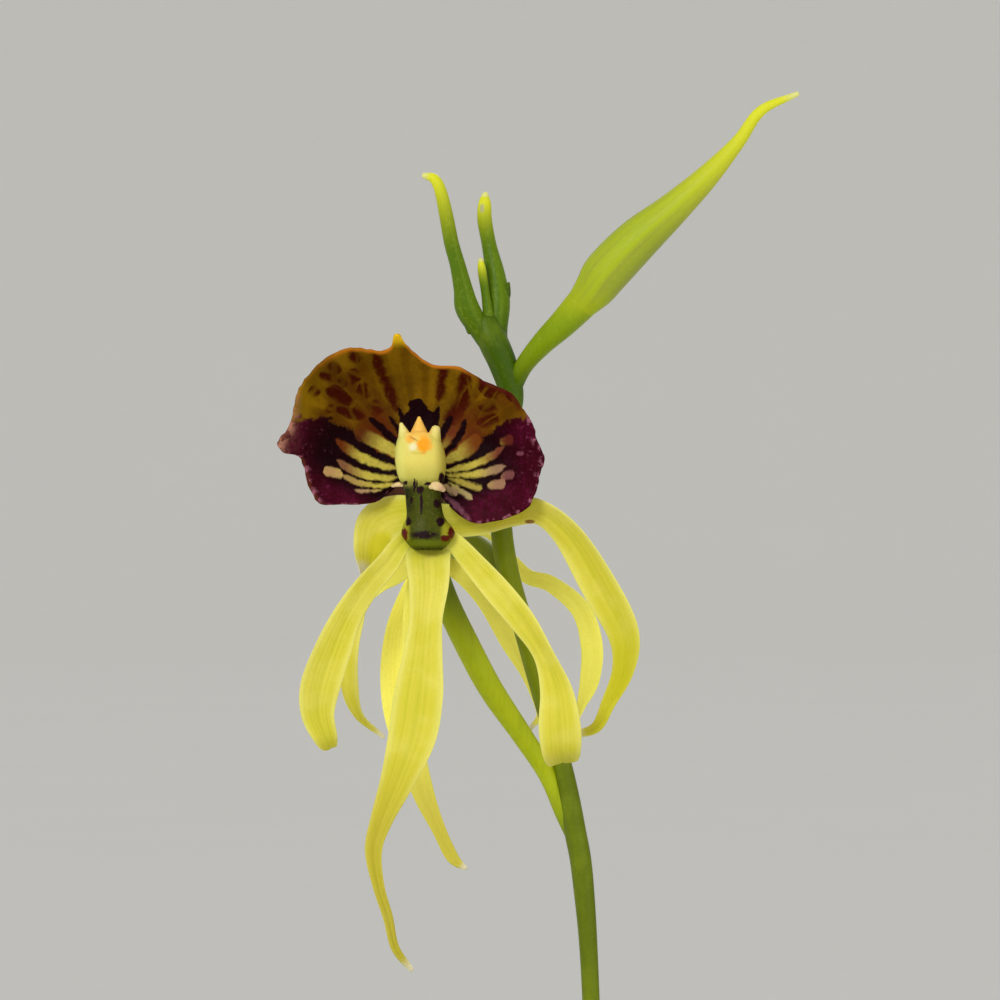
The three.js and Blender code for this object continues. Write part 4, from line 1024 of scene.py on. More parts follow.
FRONT_FLOWER = Vector((-7.9, -12, 369.7))
REAR_FLOWER = Vector((-6.8, 14, 368.6))
REAR_TURN = math.radians(234)
REAR_TILT = math.radians(16)
REAR_SIZE = 0.9
REAR_LOBE_DROP = 0.8
TEPAL_THICKNESS = 0.5
TEPALS = {
    "front_dorsal_sepal": [
        (0, 1.3, 0.5, 4.6), (0, 0.4, -0.6, 4.9), (0, -0.6, -1.6, 4.9), (0.1, -1.8, -4, 4.4),
        (-0.2, -2.6, -7.9, 3.6), (-0.5, -3, -11.7, 4.4, 8), (-0.9, -3, -16.1, 5.6, 12),
        (-1.6, -2.5, -20.5, 5.4, 12), (-3.3, -2, -25.4, 3.8, 8), (-5.1, -2, -29.8, 2.5),
        (-6.0, -2.5, -33.1, 1.9, -8), (-5.5, -3, -36.9, 1.4, -16), (-4.4, -3, -40.5, 1.3, -20),
        (-3.6, -2.5, -43.8, 1.0, -20), (-1.9, -1.5, -46.2, 0.6, -20),
    ],
    "front_petal_left": [
        (-1.8, 0.9, 1.4, 2.0), (-3.1, 0.2, 0.3, 2.2), (-4.6, -0.6, -1.7, 2.6, -10),
        (-7.1, -2, -4.6, 3.1, -16), (-9.1, -3, -7.8, 3.5, -14), (-10.6, -3.5, -11.3, 4.2, -8),
        (-11.8, -3, -15, 4.4), (-12.1, -2, -18, 3.7), (-11.3, -1.0, -20.6, 2.7), (-10.8, 0.4, -21.8, 1.7),
        (-10.5, 1.8, -21.6, 0.8),
    ],
    "front_petal_right": [
        (1.9, 0.9, 1.4, 2.0), (3.2, 0.2, 0.3, 2.2), (4.9, -0.5, -1.5, 2.6, 8), (7.7, -1.5, -4.6, 3.1, 16),
        (10.6, -2, -8.1, 3.2, 24), (12.9, -2, -11.7, 3.0, 34), (14.2, -2, -15.5, 3.8, 20),
        (14.5, -2, -19.4, 4.7, 6), (14.6, -0.9, -22.1, 4.3, -6), (14.8, 1.4, -23.4, 3.2, -8),
        (14.8, 3.6, -23.4, 1.9), (14.7, 4.8, -22.6, 0.8),
    ],
    "front_sepal_right": [
        (0.4, 1.8, 3.1, 3.8), (2.4, 3.2, 3.0, 3.7), (5.5, 4.8, 3.1, 3.4), (9.2, 4.4, 3.9, 3.0, 12),
        (12.3, 2.8, 4.1, 3.5, 16), (15.8, 1.0, 1.3, 4.6, 10), (19.0, 0.4, -3.9, 4.9, 4),
        (21.6, 0.5, -9.2, 4.2), (21.6, 1, -13.4, 2.9), (19.9, 1.5, -17.2, 1.7), (18.6, 2, -19.7, 1.3),
        (16.5, 2.5, -20.6, 0.9),
    ],
    "front_sepal_left": [
        (-0.6, 1.8, 2.9, 3.2), (-2.2, 3.0, 3.5, 4.4), (-4.0, 4.2, 3.2, 5.1), (-5.5, 4.9, 2.2, 5.3, -14),
        (-6.2, 5.8, 0.2, 4.4, -42), (-6.9, 6.3, -2.8, 3.2, -95), (-7.6, 6.2, -6.9, 2.8, -145),
        (-8.8, 5.5, -11.3, 3.0, -170), (-9.0, 5.5, -15.2, 2.7, -180), (-7.8, 5.5, -18.6, 1.3, -180),
        (-5.1, 5.5, -20.9, 0.6, -180),
    ],
    "rear_dorsal_sepal": [
        (-0.2, 0.4, -1.1, 2.0), (-2.2, 2.4, -2.0, 2.3), (-3.5, 2, -4.8, 2.7), (-4.5, 1, -8.7, 3.5),
        (-4.7, 0, -13, 4.3), (-4.3, -1, -17.5, 4.3), (-3.4, -2, -22, 3.4), (-1.8, -3, -27.1, 2.5),
        (-0.1, -4, -31, 1.6), (1.4, -4, -34.1, 1.4), (2.8, -4.5, -35.3, 0.6),
    ],
    "rear_petal_right": [
        (0.0, 2.2, 0.2, 2.2), (1.6, 1.2, -0.9, 2.8), (3.5, 0.2, -2.6, 2.7), (5.4, -2.4, -5.1, 2.4),
        (7.8, -5, -9.1, 2.5, 12), (9.8, -6.8, -12.8, 1.9, 20), (11.1, -8.2, -16.4, 1.1),
        (11.4, -9.3, -17.9, 1.0), (10.3, -10.3, -19.2, 0.6),
    ],
    "rear_sepal_right": [
        (3.3, -0.8, 2.7, 1.8), (5.4, -1.6, 1.7, 1.7), (7.9, -3, -0.4, 1.7), (10, -4, -2.3, 1.7),
        (12.7, -5, -3.2, 1.9), (16.0, -6, -6, 2.3, 10), (17.2, -7, -10, 2.6), (17.0, -7, -13.9, 2.3),
        (16, -7, -16.8, 1.1), (15.5, -7.5, -18.4, 0.6),
    ],
    "rear_sepal_left": [
        (-1.0, -2.9, 1.8, 2.4), (-3.1, -3.9, 0.4, 3.1), (-5.2, -5, -1.4, 3.5), (-7.5, -6, -2.9, 3.0),
        (-9.9, -6, -5.8, 2.3), (-11.8, -6, -10.6, 2.3), (-12.7, -5.5, -15.1, 1.6), (-12.5, -5, -18, 0.6),
    ],
    "rear_petal_left": [
        (-2.6, -2.2, 1.0, 1.7), (-2.7, -3.4, -2.3, 1.9), (-3, -3.6, -6.1, 2.3), (-3, -3.3, -10.6, 2.5),
        (-3, -3.2, -15.2, 2.0), (-3.4, -3, -19.2, 0.8),
    ],
}
UP_FRONT = (0, -0.57, 0.82)
# Small red-brown spot on the right sepal: x, z, half width and half height
SEPAL_SPOT = (3.3, 372.6, 0.55, 0.22)

# The same for the deep yellow inside of the left sepal's loop and the whitish fold on its edge
SEPAL_LOOP = (-13.0, 369.4, 1.7, 2.0)
SEPAL_TIP = (-15.5, 367.0, 1.0, 1.1)

LIP_MIDDLE = Vector((-0.8, 3.0, 8.9))
LIP_REACH = 14.0
LIP_THICKNESS = 0.5
LIP_SIDES, LIP_ROWS, LIP_RIDGES = 228, 45, 22
# Depth of the lip's belly at its foot, what it gains at its top, how far its rim comes forward, and its waves
LIP_BELLY = (0.3, 2.7)
LIP_CURL = 4
LIP_WAVES = 9
LIP_OUTLINE = [
    (-2.6, 14.7), (-2.2, 14.5), (-1.9, 13.9), (-0.9, 12.8), (1.2, 11.4), (4.1, 11.1), (7.0, 9.6),
    (10.0, 8.1), (11.0, 6.8), (12.4, 4.6), (12.8, 3.0), (13.6, 1.0), (13.1, -0.9), (12.8, -2.2),
    (11.7, -4.5), (9.2, -5.7), (6.5, -6.2), (4.8, -5.7), (3.0, -4.2), (1.8, -2.8), (1.0, -1.9),
    (-0.7, -1.6), (-2.3, -1.9), (-3.6, -2.5), (-4.7, -3.7), (-6.7, -4.1), (-8.9, -4.1), (-11.1, -4.0),
    (-12.3, -2.2), (-13.3, 1.0), (-15.1, 1.6), (-15.6, 2.8), (-14.4, 4.6), (-13.9, 6.5), (-13.1, 9.0),
    (-10.6, 11.8), (-7.6, 13.1), (-4.5, 12.8), (-3.3, 13.4), (-2.95, 14.4),
]
# Strokes of colour on the lip. Each runs outwards from the lip's middle, and holds the angle from straight
# up in degrees and the reach in millimetres where it starts, the same where it ends, and its two half widths.
LIP_BARS = [
    (-23, 6.6, -22.3, 13.6, 0.3, 0.45), (-38, 7.4, -38.5, 9.2, 0.45, 0.5),
    (-37.3, 9.7, -36.8, 11.3, 0.5, 0.55), (-36, 11.7, -35.5, 13.3, 0.5, 0.5),
    (-31, 13.4, -30.5, 15.0, 0.4, 0.4), (-41, 13.7, -41, 15.2, 0.4, 0.35),
    (-43, 12.2, -47, 15.1, 0.42, 0.4), (-47.1, 10.2, -49.8, 13.5, 0.62, 0.6),
    (-49, 8.4, -57.5, 12.3, 0.45, 0.55), (-54, 13.7, -54.5, 14.9, 0.3, 0.3),
    (14.5, 7.6, 12.5, 12.0, 0.3, 0.42), (31.5, 5.6, 33.5, 8.3, 0.5, 0.75),
    (33.5, 7.6, 24.5, 12.0, 0.75, 0.55), (40.8, 10.5, 39.5, 13.4, 0.9, 1.2), (45, 9.1, 49, 10.9, 0.55, 0.6),
    (52, 7.8, 56, 10.2, 0.45, 0.5), (51, 12.2, 54, 14.0, 0.8, 0.9),
]
LIP_STRIPES = [
    (-43.8, 3.0, -46.5, 8.1, 0.42, 0.4), (-31.5, 4.0, -32.3, 6.7, 0.3, 0.22), (61, 2.6, 43, 7.3, 0.16, 0.5),
    (31, 3.7, 31.5, 6.6, 0.36, 0.42), (-24, 3.0, -20.4, 7.2, 0.75, 0.2), (-4.5, 3, -4, 7.7, 0.9, 1.05),
    (14, 3, 16, 7.1, 0.95, 0.3), (-3, 2.0, -1.5, 6.6, 1.6, 2.0),
]
# The yellow wedges between the dark stripes, with the colour that each turns to at its outer end
LIP_WEDGES = [
    (-58, 2.5, -61.5, 8.4, 0.55, 0.8, "#5c2c10"), (-91.3, 2.6, -72, 9.9, 0.2, 0.6, "#7c3a10"),
    (-111.4, 2.8, -85, 9.4, 0.18, 0.52, "#9a6644"), (-124, 2.8, -95.5, 8.8, 0.1, 0.36, "#c8a45c"),
    (-119, 5.1, -109, 7.8, 0.1, 0.2, "#d0a878"), (-95, 8.7, -92, 10.7, 0.35, 0.6, "#dcb070"),
    (48, 3.2, 38.5, 5.8, 0.25, 0.5, "#6c2c16"), (76, 2.6, 62.5, 7.3, 0.15, 1.0, "#7a4010"),
    (96, 2.7, 76, 9.4, 0.15, 0.5, "#8c4a34"), (105.5, 3.0, 89, 9.3, 0.1, 0.5, "#b48c6c"),
    (110.5, 3.3, 109.8, 7.2, 0.06, 0.44, "#c8b050"), (118.5, 3.6, 122, 6.6, 0.06, 0.3, "#d8c080"),
    (126.5, 3.1, 127.5, 5.0, 0.25, 0.34, "#d0ac80"), (105, 7.6, 101, 9.5, 0.35, 0.6, "#b88a68"),
    (97, 8.8, 94, 10.3, 0.45, 0.5, "#8c5450"), (82, 10.6, 82, 11.5, 0.15, 0.25, "#8a4a5c"),
    (73, 9.0, 72, 10.7, 0.3, 0.5, "#6c2c1c"),
]
# Pale mauve band along the lower edge of the right lobe, a painted highlight
LIP_EDGE_HIGHLIGHT = (139, 3.7, 137, 8.2, 0.18, 0.3)

COLUMN_RINGS = [
    (-0.2, 0, 1.5, 1.6), (0.25, 0, 2.05, 2.05), (0.9, 0, 2.6, 2.25), (1.6, 0, 2.95, 2.25),
    (2.4, -0.1, 2.7, 2.1), (3.4, -0.3, 2.1, 1.9), (5, -0.5, 1.95, 1.8), (6.5, -0.6, 2.05, 1.8),
    (8, -0.75, 2.6, 1.95), (9.8, -0.85, 2.8, 2.0), (11.6, -1.0, 2.5, 1.8), (12.7, -1.1, 2.0, 1.4),
]
COLUMN_SIDES, COLUMN_ROWS = 48, 60
# The hollow under the anther: its height, spread and depth as a share
COLUMN_HOLLOW = {"height": 11.6, "spread": 1.5, "depth": 0.2}
# Teeth: foot, tip and the width at both
COLUMN_TEETH = [
    ((-2.0, 0.2, 10.2), (-2.95, -0.5, 13.6), 3.2, 0.45), ((0.2, 0.2, 10.2), (0.85, -0.5, 13.1), 2.8, 1.0),
    ((-1.0, 0.1, 10.6), (-1.0, -0.2, 14.3), 4.0, 0.4),
]
# Marks on the column: x, z, half width and half height
COLUMN_MARKS = [
    (-0.72, 4.9, 0.18, 1.15), (-0.85, 6.4, 0.36, 0.4), (-1.5, 6.9, 0.16, 0.75), (-1.2, 6.9, 0.1, 0.6),
    (-1.85, 5.3, 0.16, 0.4), (0.05, 7.1, 0.4, 0.16), (0.95, 4.9, 0.42, 0.5), (1.35, 2.9, 0.46, 0.5),
    (2.0, 3.3, 0.18, 0.36), (1.5, 7.7, 0.34, 0.66), (-2.15, 2.95, 0.3, 0.5), (-2.45, 7.2, 0.3, 0.2),
    (0.7, 6.9, 0.5, 0.18), (1.75, 6.6, 0.24, 0.5),
]
# Broken dark band round the column's foot: x, z, half width and half height
FOOT_BAND = (-0.38, 1.5, 1.5, 0.44)
RUST_MARKS = [(-2.65, 1.45, 0.4, 0.75), (1.9, 1.1, 0.55, 0.4), (2.55, 1.7, 0.32, 0.7)]
# The anther is a ball, widened and flattened, with a groove down its front
ANTHER = {
    "middle": Vector((-0.9, -1.0, 11.5)), "radius": 1.4, "wide": 1.15, "deep": 0.42, "groove": 0.05,
    "groove_width": 0.18,
}
# Patches on the anther and round it: x, z, half width and half height
CAP_ORANGE = (-0.45, 11.4, 0.75, 0.9)
CAP_ORANGE_LEFT = (-1.95, 11.95, 0.42, 0.4)
CAP_WHITE = (-1.62, 11.1, 0.5, 0.42)
# A thin dark line above the white patch, painted as the shade of a dent
CAP_DENT_SHADE = (-1.6, 12.05, 0.4, 0.1)
# Ends of the lip's thick ridge, either side of the column
CALLUS = [
    [(0.35, -1.6, 6.75, 0.6), (0.75, -1.7, 6.85, 1.05), (1.2, -1.6, 6.75, 0.95), (1.65, -1.2, 6.45, 0.6)],
    [(-2.9, -0.5, 6.9, 0.35), (-3.3, -0.45, 7.0, 0.55), (-3.9, 0.0, 6.85, 0.35)],
]


REAR_TURNED = Matrix.Rotation(REAR_TURN, 4, "Z") @ Matrix.Rotation(REAR_TILT, 4, "X")
FRAMES = {
    "front": Matrix.Translation(FRONT_FLOWER),
    "rear": Matrix.Translation(REAR_FLOWER) @ REAR_TURNED @ Matrix.Scale(REAR_SIZE, 4),
}


def ellipse(made, x, z, mark, soft=0.25):
    """Where an elliptical mark covers the surface."""
    mark_x, mark_z, half_width, half_height = mark
    off_x = made.times(made.add(x, -mark_x), 1 / half_width)
    off_z = made.times(made.add(z, -mark_z), 1 / half_height)
    off = made.math("SQRT", made.add(made.times(off_x, off_x), made.times(off_z, off_z)))
    return made.between(off, 1 + soft, 1 - soft)


def tepal_finish(settings):
    made = Finish("tepal_skin", roughness=0.46, specular=0.12, subsurface=0.2, depth=1.0)
    across, along, face = made.split(made.marks)
    x, y, z = made.split(made.place)
    veins = made.noise(made.scaled((across, 7), (along, 1.6), (face, 0.4)), 1, 2)
    fine = made.math("SINE", made.times(across, 26.0))
    cells = made.noise(made.place, 3600, 3, 0.6)
    mottle = made.noise(made.place, 260, 3)
    colour = made.coats(settings.tepal, (settings.tepal_deep, veins, 0.36, 0.72, 0.5))
    colour = made.coats(
        colour,
        (settings.tepal_pale, made.size_of(across), 0.6, 1.0, 0.6),
        ("#cdd244", along, 0.2, 0.0, 0.6),
        ("#e8dc70", mottle, 0.4, 0.7, 0.35))
    # Painted shade: the front of the right sepal's lower part turns deeper yellow-green
    low = made.times(made.between(x, 8 * MM, 12 * MM), made.between(z, 366 * MM, 354 * MM))
    colour = made.mix(made.times(low, made.between(y, -4 * MM, -8 * MM, 0, 0.75)), colour, "#bab60a")
    # Painted light: the tepals of the rear flower, beyond the middle plane, are lightened
    colour = made.coats(
        colour,
        ("#fff46c", y, -2 * MM, 2 * MM, 0.8),
        ("#ac9e26", z, 350 * MM, 337 * MM, 0.65),
        ("#a8a81c", cells, 0.5, 0.75, 0.15),
        (settings.tip, along, 0.955, 1.0, 0.85))
    x, z = made.times(x, 1 / MM), made.times(z, 1 / MM)
    inner = made.times(ellipse(made, x, z, SEPAL_LOOP, 0.22), made.between(y, -10 * MM, -8 * MM))
    colour = made.mix(made.times(inner, 0.75), colour, "#d2ca14")
    pale = made.times(ellipse(made, x, z, SEPAL_TIP, 0.5), made.between(y, -10 * MM, -8 * MM))
    colour = made.mix(made.times(pale, 0.85), colour, "#e6dcc4")
    spot = ellipse(made, x, z, SEPAL_SPOT)
    colour = made.mix(made.times(spot, 0.8), colour, "#6c1c0c")
    relief = made.add(made.times(fine, 0.08), made.add(veins, made.times(cells, 0.25)))
    return made.done(colour, relief, 0.08, 0.6)


def stroke(made, reach, angle, line, soft, rough):
    """Where a stroke with rough edges covers the lip, given the reach and angle of the point shaded."""
    start_angle, start, end_angle, end, start_half, end_half = line[:6]
    share = made.math("MULTIPLY_ADD", reach, 1 / (end - start), -start / (end - start))
    centre = made.math("MULTIPLY_ADD", share, end_angle - start_angle, start_angle)
    off = made.times(made.size_of(made.math("SUBTRACT", angle, centre)), made.times(reach, math.radians(1)))
    opening = made.math("SQRT", made.math("MAXIMUM", share, 0.0)) if end_half > start_half else share
    half = made.math("MAXIMUM", made.math("MULTIPLY_ADD", opening, end_half - start_half, start_half), 0.05)
    middle = made.size_of(made.math("MULTIPLY_ADD", share, 2.0, -1.0))
    rounding = made.math("MULTIPLY_ADD", made.math("POWER", middle, 8.0), -1.0, 1.0)
    covered = made.add(made.math("SUBTRACT", made.times(half, rounding), off), rough)
    return made.between(covered, -soft, soft)


def lip_finish(settings):
    made = Finish("lip_skin", roughness=0.5, specular=0.04, subsurface=0.03, depth=0.6)
    flat_x, face, flat_z = made.split(made.marks)
    wobble = made.node(
        "ShaderNodeTexNoise", {"Vector": made.point(flat_x, flat_z), "Scale": 1.1, "Detail": 4.0},
        output="Color")
    shift_x, shift_z, _ = made.split(wobble)
    x = made.add(flat_x, made.math("MULTIPLY_ADD", shift_x, 0.5, -0.25))
    z = made.add(flat_z, made.math("MULTIPLY_ADD", shift_z, 0.5, -0.25))
    reach = made.math("SQRT", made.add(made.times(x, x), made.times(z, z)))
    angle = made.math("DEGREES", made.math("ARCTAN2", x, z))
    wide = made.size_of(angle)
    fine = made.noise(made.point(flat_x, flat_z), 2.6, 4)
    soft = made.noise(made.point(flat_x, flat_z, 7.0), 0.35, 3)
    grain = made.noise(made.point(flat_x, flat_z, 11.0), 1.4, 3)
    rough = made.math("MULTIPLY_ADD", grain, 0.9, -0.45)
    slight = made.times(rough, 0.6)
    wider = made.add(rough, 0.15)

    # Ochre upper part, with faint rays, and brown bars and patches that leave a net between them
    colour = made.coats(settings.ochre, ("#5c3e02", soft, 0.38, 0.66, 0.75))
    rays = made.math("SINE", made.times(angle, math.radians(360 / 11)))
    colour = made.coats(colour, ("#4a2e00", rays, -0.6, 1.0, 0.4))
    bright = made.times(made.between(reach, 11.5, 14.0), made.between(wide, 42, 62))
    gold = made.mix(made.times(bright, 0.6), colour, "#967408")
    shade = made.times(made.between(soft, 0.3, 0.5), made.between(wide, 22, 36))
    colour = made.mix(made.times(shade, made.between(reach, 14.5, 12.0, 0.15, 0.7)), gold, "#562a03")
    for bar in LIP_BARS:
        cover = stroke(made, reach, angle, bar, 0.35, wider)
        cover = made.times(cover, made.between(fine, 0.25, 0.5, 0.7, 1.0))
        colour = made.mix(cover, colour, settings.maroon)
    net = made.cells(made.point(made.times(angle, 0.13), made.times(reach, 0.36)), 1.0, "DISTANCE_TO_EDGE")
    netted = made.times(made.between(wide, 24, 32), made.between(reach, 7.0, 9.0))
    colour = made.mix(made.times(made.between(net, 0.14, 0.02, 0, 0.5), netted), colour, gold)
    warm = made.times(made.between(wide, 26, 44), made.between(reach, 9.6, 6.6))
    colour = made.mix(made.times(warm, 0.8), colour, "#5c2206")
    glow = made.times(made.between(wide, 36, 52), made.between(reach, 7.0, 4.0))
    colour = made.mix(made.times(glow, 0.7), colour, "#7a3e10")

    # Dark side lobes, below a line that climbs as it runs out
    start = made.between(flat_x, -1.0, 1.0, 71, 81)
    climb = made.times(made.between(reach, 2.8, 9.8), made.math("SUBTRACT", 61.5, start))
    border = made.add(made.add(start, climb), made.between(reach, 11.0, 14.5, 0, 7))
    lobe = made.between(made.add(made.math("SUBTRACT", wide, border), made.times(rough, 12.0)), -1.5, 1.5)
    below = made.times(made.between(flat_z, -1.0, -4.5), 4.5)
    left = made.times(made.between(flat_x, -3.0, -8.0), made.between(flat_z, -2.0, 1.0, 0, -2.4))
    outwards = made.between(made.add(reach, made.add(below, left)), 8.0, 12.5)
    purple = made.coats(
        settings.purple,
        ("#560a2c", fine, 0.4, 0.66),
        ("#34030c", soft, 0.4, 0.6, 0.75))
    purple = made.mix(outwards, settings.black, purple)
    # Painted highlights: soft pale pink spots scattered over the outer purple lobes
    clumps = made.noise(made.point(flat_x, flat_z, 3.0), 0.9, 2)
    lobe_highlights = made.times(made.between(fine, 0.56, 0.7), made.between(reach, 8.5, 12.0))
    lobe_highlights = made.times(lobe_highlights, made.between(clumps, 0.5, 0.62))
    purple = made.mix(made.times(lobe_highlights, 0.35), purple, "#8c4864")
    colour = made.mix(lobe, colour, purple)

    # Yellow wedges on them, and the dark stripes above them
    inner = made.coats(settings.yellow, ("#a8942c", fine, 0.35, 0.75, 0.5))
    for wedge in LIP_WEDGES:
        end = made.between(made.add(reach, rough), wedge[3] - 3.6, wedge[3] - 0.6)
        turned = made.mix(end, inner, wedge[6])
        faded = made.math("MULTIPLY_ADD", end, -0.35, 1.0)
        colour = made.mix(made.times(stroke(made, reach, angle, wedge, 0.18, slight), faded), colour, turned)
    # Painted highlight along the right lobe's lower edge, broken up by grain
    edge_highlight = stroke(made, reach, angle, LIP_EDGE_HIGHLIGHT, 0.22, slight)
    edge_highlight = made.times(edge_highlight, made.between(grain, 0.35, 0.65, 0.35, 0.75))
    colour = made.mix(edge_highlight, colour, "#905668")
    for stripe in LIP_STRIPES:
        colour = made.mix(stroke(made, reach, angle, stripe, 0.12, slight), colour, settings.black)

    # Thin bright edge near the apex, the rim's orange with a painted highlight on it, a maroon one at the
    # right shoulder, and pale bumps on the lobes, partly their own colour and partly painted highlights
    share = made.size_of(face)
    # Painted highlight: the orange rim is brightest near the apex and fades down the left side
    edge = made.times(made.between(share, 0.955, 0.985), made.between(angle, 34, 18))
    colour = made.mix(made.times(edge, made.between(angle, -50, -24, 0.1, 0.95)), colour, settings.rim)
    shoulder = made.times(made.between(share, 0.93, 0.985), made.between(angle, 26, 38))
    colour = made.mix(made.times(made.times(shoulder, made.between(angle, 66, 56)), 0.85), colour, "#4c1008")
    # Pale bumps along the lobes' margins: partly their own colour, partly painted highlights
    pale_bumps_and_highlights = made.times(made.between(share, 0.93, 0.99), made.between(grain, 0.52, 0.64))
    colour = made.mix(made.times(made.times(pale_bumps_and_highlights, lobe), 0.7), colour, "#a86478")
    tips = made.times(made.between(flat_x, -12.6, -14.6), made.between(flat_z, 1.0, 2.6))
    tips = made.times(tips, made.between(share, 0.92, 0.985, 0.12, 1))
    colour = made.mix(made.times(tips, made.between(grain, 0.4, 0.58, 0.15, 0.85)), colour, "#b88068")
    colour = made.coats(colour, ("#f2c21e", flat_z, 13.0, 14.2))
    # Back face of the lip: ochre with faint rays, and over the lobes a dark maroon, the lobes' own colour
    # deepened as painted shadow
    behind = made.coats("#8c7a28", ("#6a3a28", rays, -0.5, 0.8))
    behind = made.mix(made.times(lobe, 0.85), behind, "#3c0c20")
    colour = made.mix(made.times(made.between(face, 0.1, -0.1), 0.85), colour, behind)
    relief = made.add(made.times(fine, 0.7), made.times(rays, 0.12))
    return made.done(colour, relief, 0.24, 0.7, made.between(fine, 0.3, 0.7, 0.38, 0.52))


def cap_colour(made, colour, x, z, settings):
    """Paints the orange and white patches of the anther and of the column round it, and a thin line of
    painted shade above them.
    """
    wobble = made.add(made.noise(made.point(x, 4.0, z), 1.3, 2), -0.5)
    x, z = made.add(x, made.times(wobble, 0.9)), made.add(z, made.times(wobble, -0.7))
    above = made.between(z, 11.6, 12.8, 0, 0.85)
    above = made.times(above, made.between(made.size_of(made.add(x, 1.0)), 1.5, 0.8))
    colour = made.mix(above, colour, "#f2b64e")
    colour = made.mix(ellipse(made, x, z, CAP_ORANGE, 0.45), colour, settings.anther)
    left = made.times(ellipse(made, x, z, CAP_ORANGE_LEFT, 0.8), 0.75)
    colour = made.mix(left, colour, settings.anther)
    colour = made.mix(ellipse(made, x, z, CAP_WHITE, 0.6), colour, "#ece2ac")
    # Painted shade: a thin slanted dark line above the white patch, where a dent is shaded
    slanted = made.add(z, made.times(made.add(x, -CAP_DENT_SHADE[0]), 0.5))
    dent = ellipse(made, x, slanted, CAP_DENT_SHADE, 0.8)
    return made.mix(made.times(dent, 0.55), colour, "#7a3810")


def column_finish(settings):
    made = Finish("column_skin", roughness=0.42, specular=0.1, subsurface=0.08, depth=0.9)
    x, y, z = made.split(made.marks)
    wobble = made.noise(made.point(x, y, z), 1.6, 3)
    shift = made.times(made.add(wobble, -0.5), 0.5)
    fine = made.noise(made.point(x, y, z), 5.0, 3)
    side = made.size_of(made.add(x, 0.3))
    colour = made.coats(settings.foot, ("#343c02", wobble, 0.35, 0.7, 0.6))
    # Painted shade: the column's green foot darkens towards its sides
    colour = made.mix(made.times(made.between(side, 0.9, 2.0), made.between(z, 3.4, 4.6)), colour, "#1e2402")
    flange = made.times(made.between(side, 1.5, 2.1), made.between(z, 3.6, 2.6))
    colour = made.mix(flange, colour, "#96921e")
    # A lighter olive low on the foot, then painted shadow darkening its very bottom
    colour = made.coats(
        colour,
        ("#5a6404", z, 1.1, 0.7),
        ("#2c3402", z, 0.45, -0.1))
    # Cream upper part over a greener lower tone; its right side is darker as painted shade and its left side
    # paler as painted light
    cream = made.coats(
        "#b3ab4a",
        (settings.cream, z, 7.2, 10.0),
        ("#a08e2c", x, 0.5, 1.9, 0.75),
        ("#e2e078", x, -2.0, -3.3, 0.6))
    colour = made.coats(
        colour,
        (cream, made.add(z, made.times(shift, 2.0)), 6.4, 7.9),
        ("#ecd88c", z, 11.8, 13.6, 0.7),
        ("#b9a040", fine, 0.55, 0.8, 0.25))
    colour = cap_colour(made, colour, x, z, settings)
    front = made.between(y, 0.4, -0.4)
    blotches = made.noise(made.point(x, 2.0, z), 1.5, 2)
    band = ellipse(made, x, made.add(z, shift), FOOT_BAND, 0.35)
    band = made.times(band, made.between(blotches, 0.3, 0.46, 0.2, 1))
    colour = made.mix(made.times(band, front), colour, "#1c040a")
    for marks, shade in ((RUST_MARKS, "#561206"), (COLUMN_MARKS, "#1e040c")):
        for mark in marks:
            cover = ellipse(made, made.add(x, shift), made.add(z, shift), mark)
            colour = made.mix(made.times(cover, front), colour, shade)
    return made.done(colour, made.add(wobble, made.times(fine, 0.3)), 0.12, 0.6)


def anther_finish(settings):
    made = Finish("anther_cap", roughness=0.4, specular=0.16, subsurface=0.12, depth=0.8)
    x, _, z = made.split(made.marks)
    fine = made.noise(made.place, 2600, 3)
    colour = made.coats(settings.cream, ("#e2bc54", fine, 0.4, 0.7, 0.2))
    colour = cap_colour(made, colour, x, z, settings)
    return made.done(colour, fine, 0.08, 0.6)


def callus_finish():
    made = Finish("callus_skin", roughness=0.45, specular=0.25, subsurface=0.15, depth=0.8)
    _, along, turned = made.split(made.marks)
    fine = made.noise(made.place, 1500, 3)
    colour = made.coats(
        "#e2c98c",
        ("#d9b487", fine, 0.35, 0.7),
        ("#8c4a4a", turned, -0.2, -0.9, 0.6),
        ("#c98c7c", along, 0.35, 1.0, 0.35))
    return made.done(colour, fine, 0.1, 0.6)


class ORCHID_OT_tepals(bpy.types.Operator):
    """Shapes the sepals and petals of both flowers"""
    bl_idname = "orchid.tepals"
    bl_label = "Sepals and petals"

    def execute(self, context):
        material = tepal_finish(context.scene.orchid_flower)
        for name, stations in TEPALS.items():
            middle = FRONT_FLOWER if name.startswith("front") else REAR_FLOWER
            moved = [(*(Vector(s[:3]) + middle), *s[3:]) for s in stations]
            facing = UP_FRONT if name == "front_dorsal_sepal" else VIEWER
            section = blade_section(0.2, TEPAL_THICKNESS, midrib=0.1, ruffle=0.12, waves=3.5)
            skin = new_skin()
            add_swept(skin, moved, section, steps=110, sides=36, facing=facing, cap=0.3)
            finish_piece(skin, f"tepal_{name}", material, [name])
        return {"FINISHED"}


def lip_depth(x, z):
    """How far back the lip stands: it bellies behind the column, and its rim comes forward."""
    away = math.hypot(x, z)
    share = min(away / LIP_REACH, 1.15)
    upward = (1 + z / away) / 2 if away > 0 else 0.5
    belly = (LIP_BELLY[0] + LIP_BELLY[1] * upward) * 4 * share * (1 - share)
    wave = 0.35 * math.sin(LIP_WAVES * math.atan2(z, x)) * share ** 4
    return LIP_MIDDLE.y + belly - LIP_CURL * share ** 2 + wave


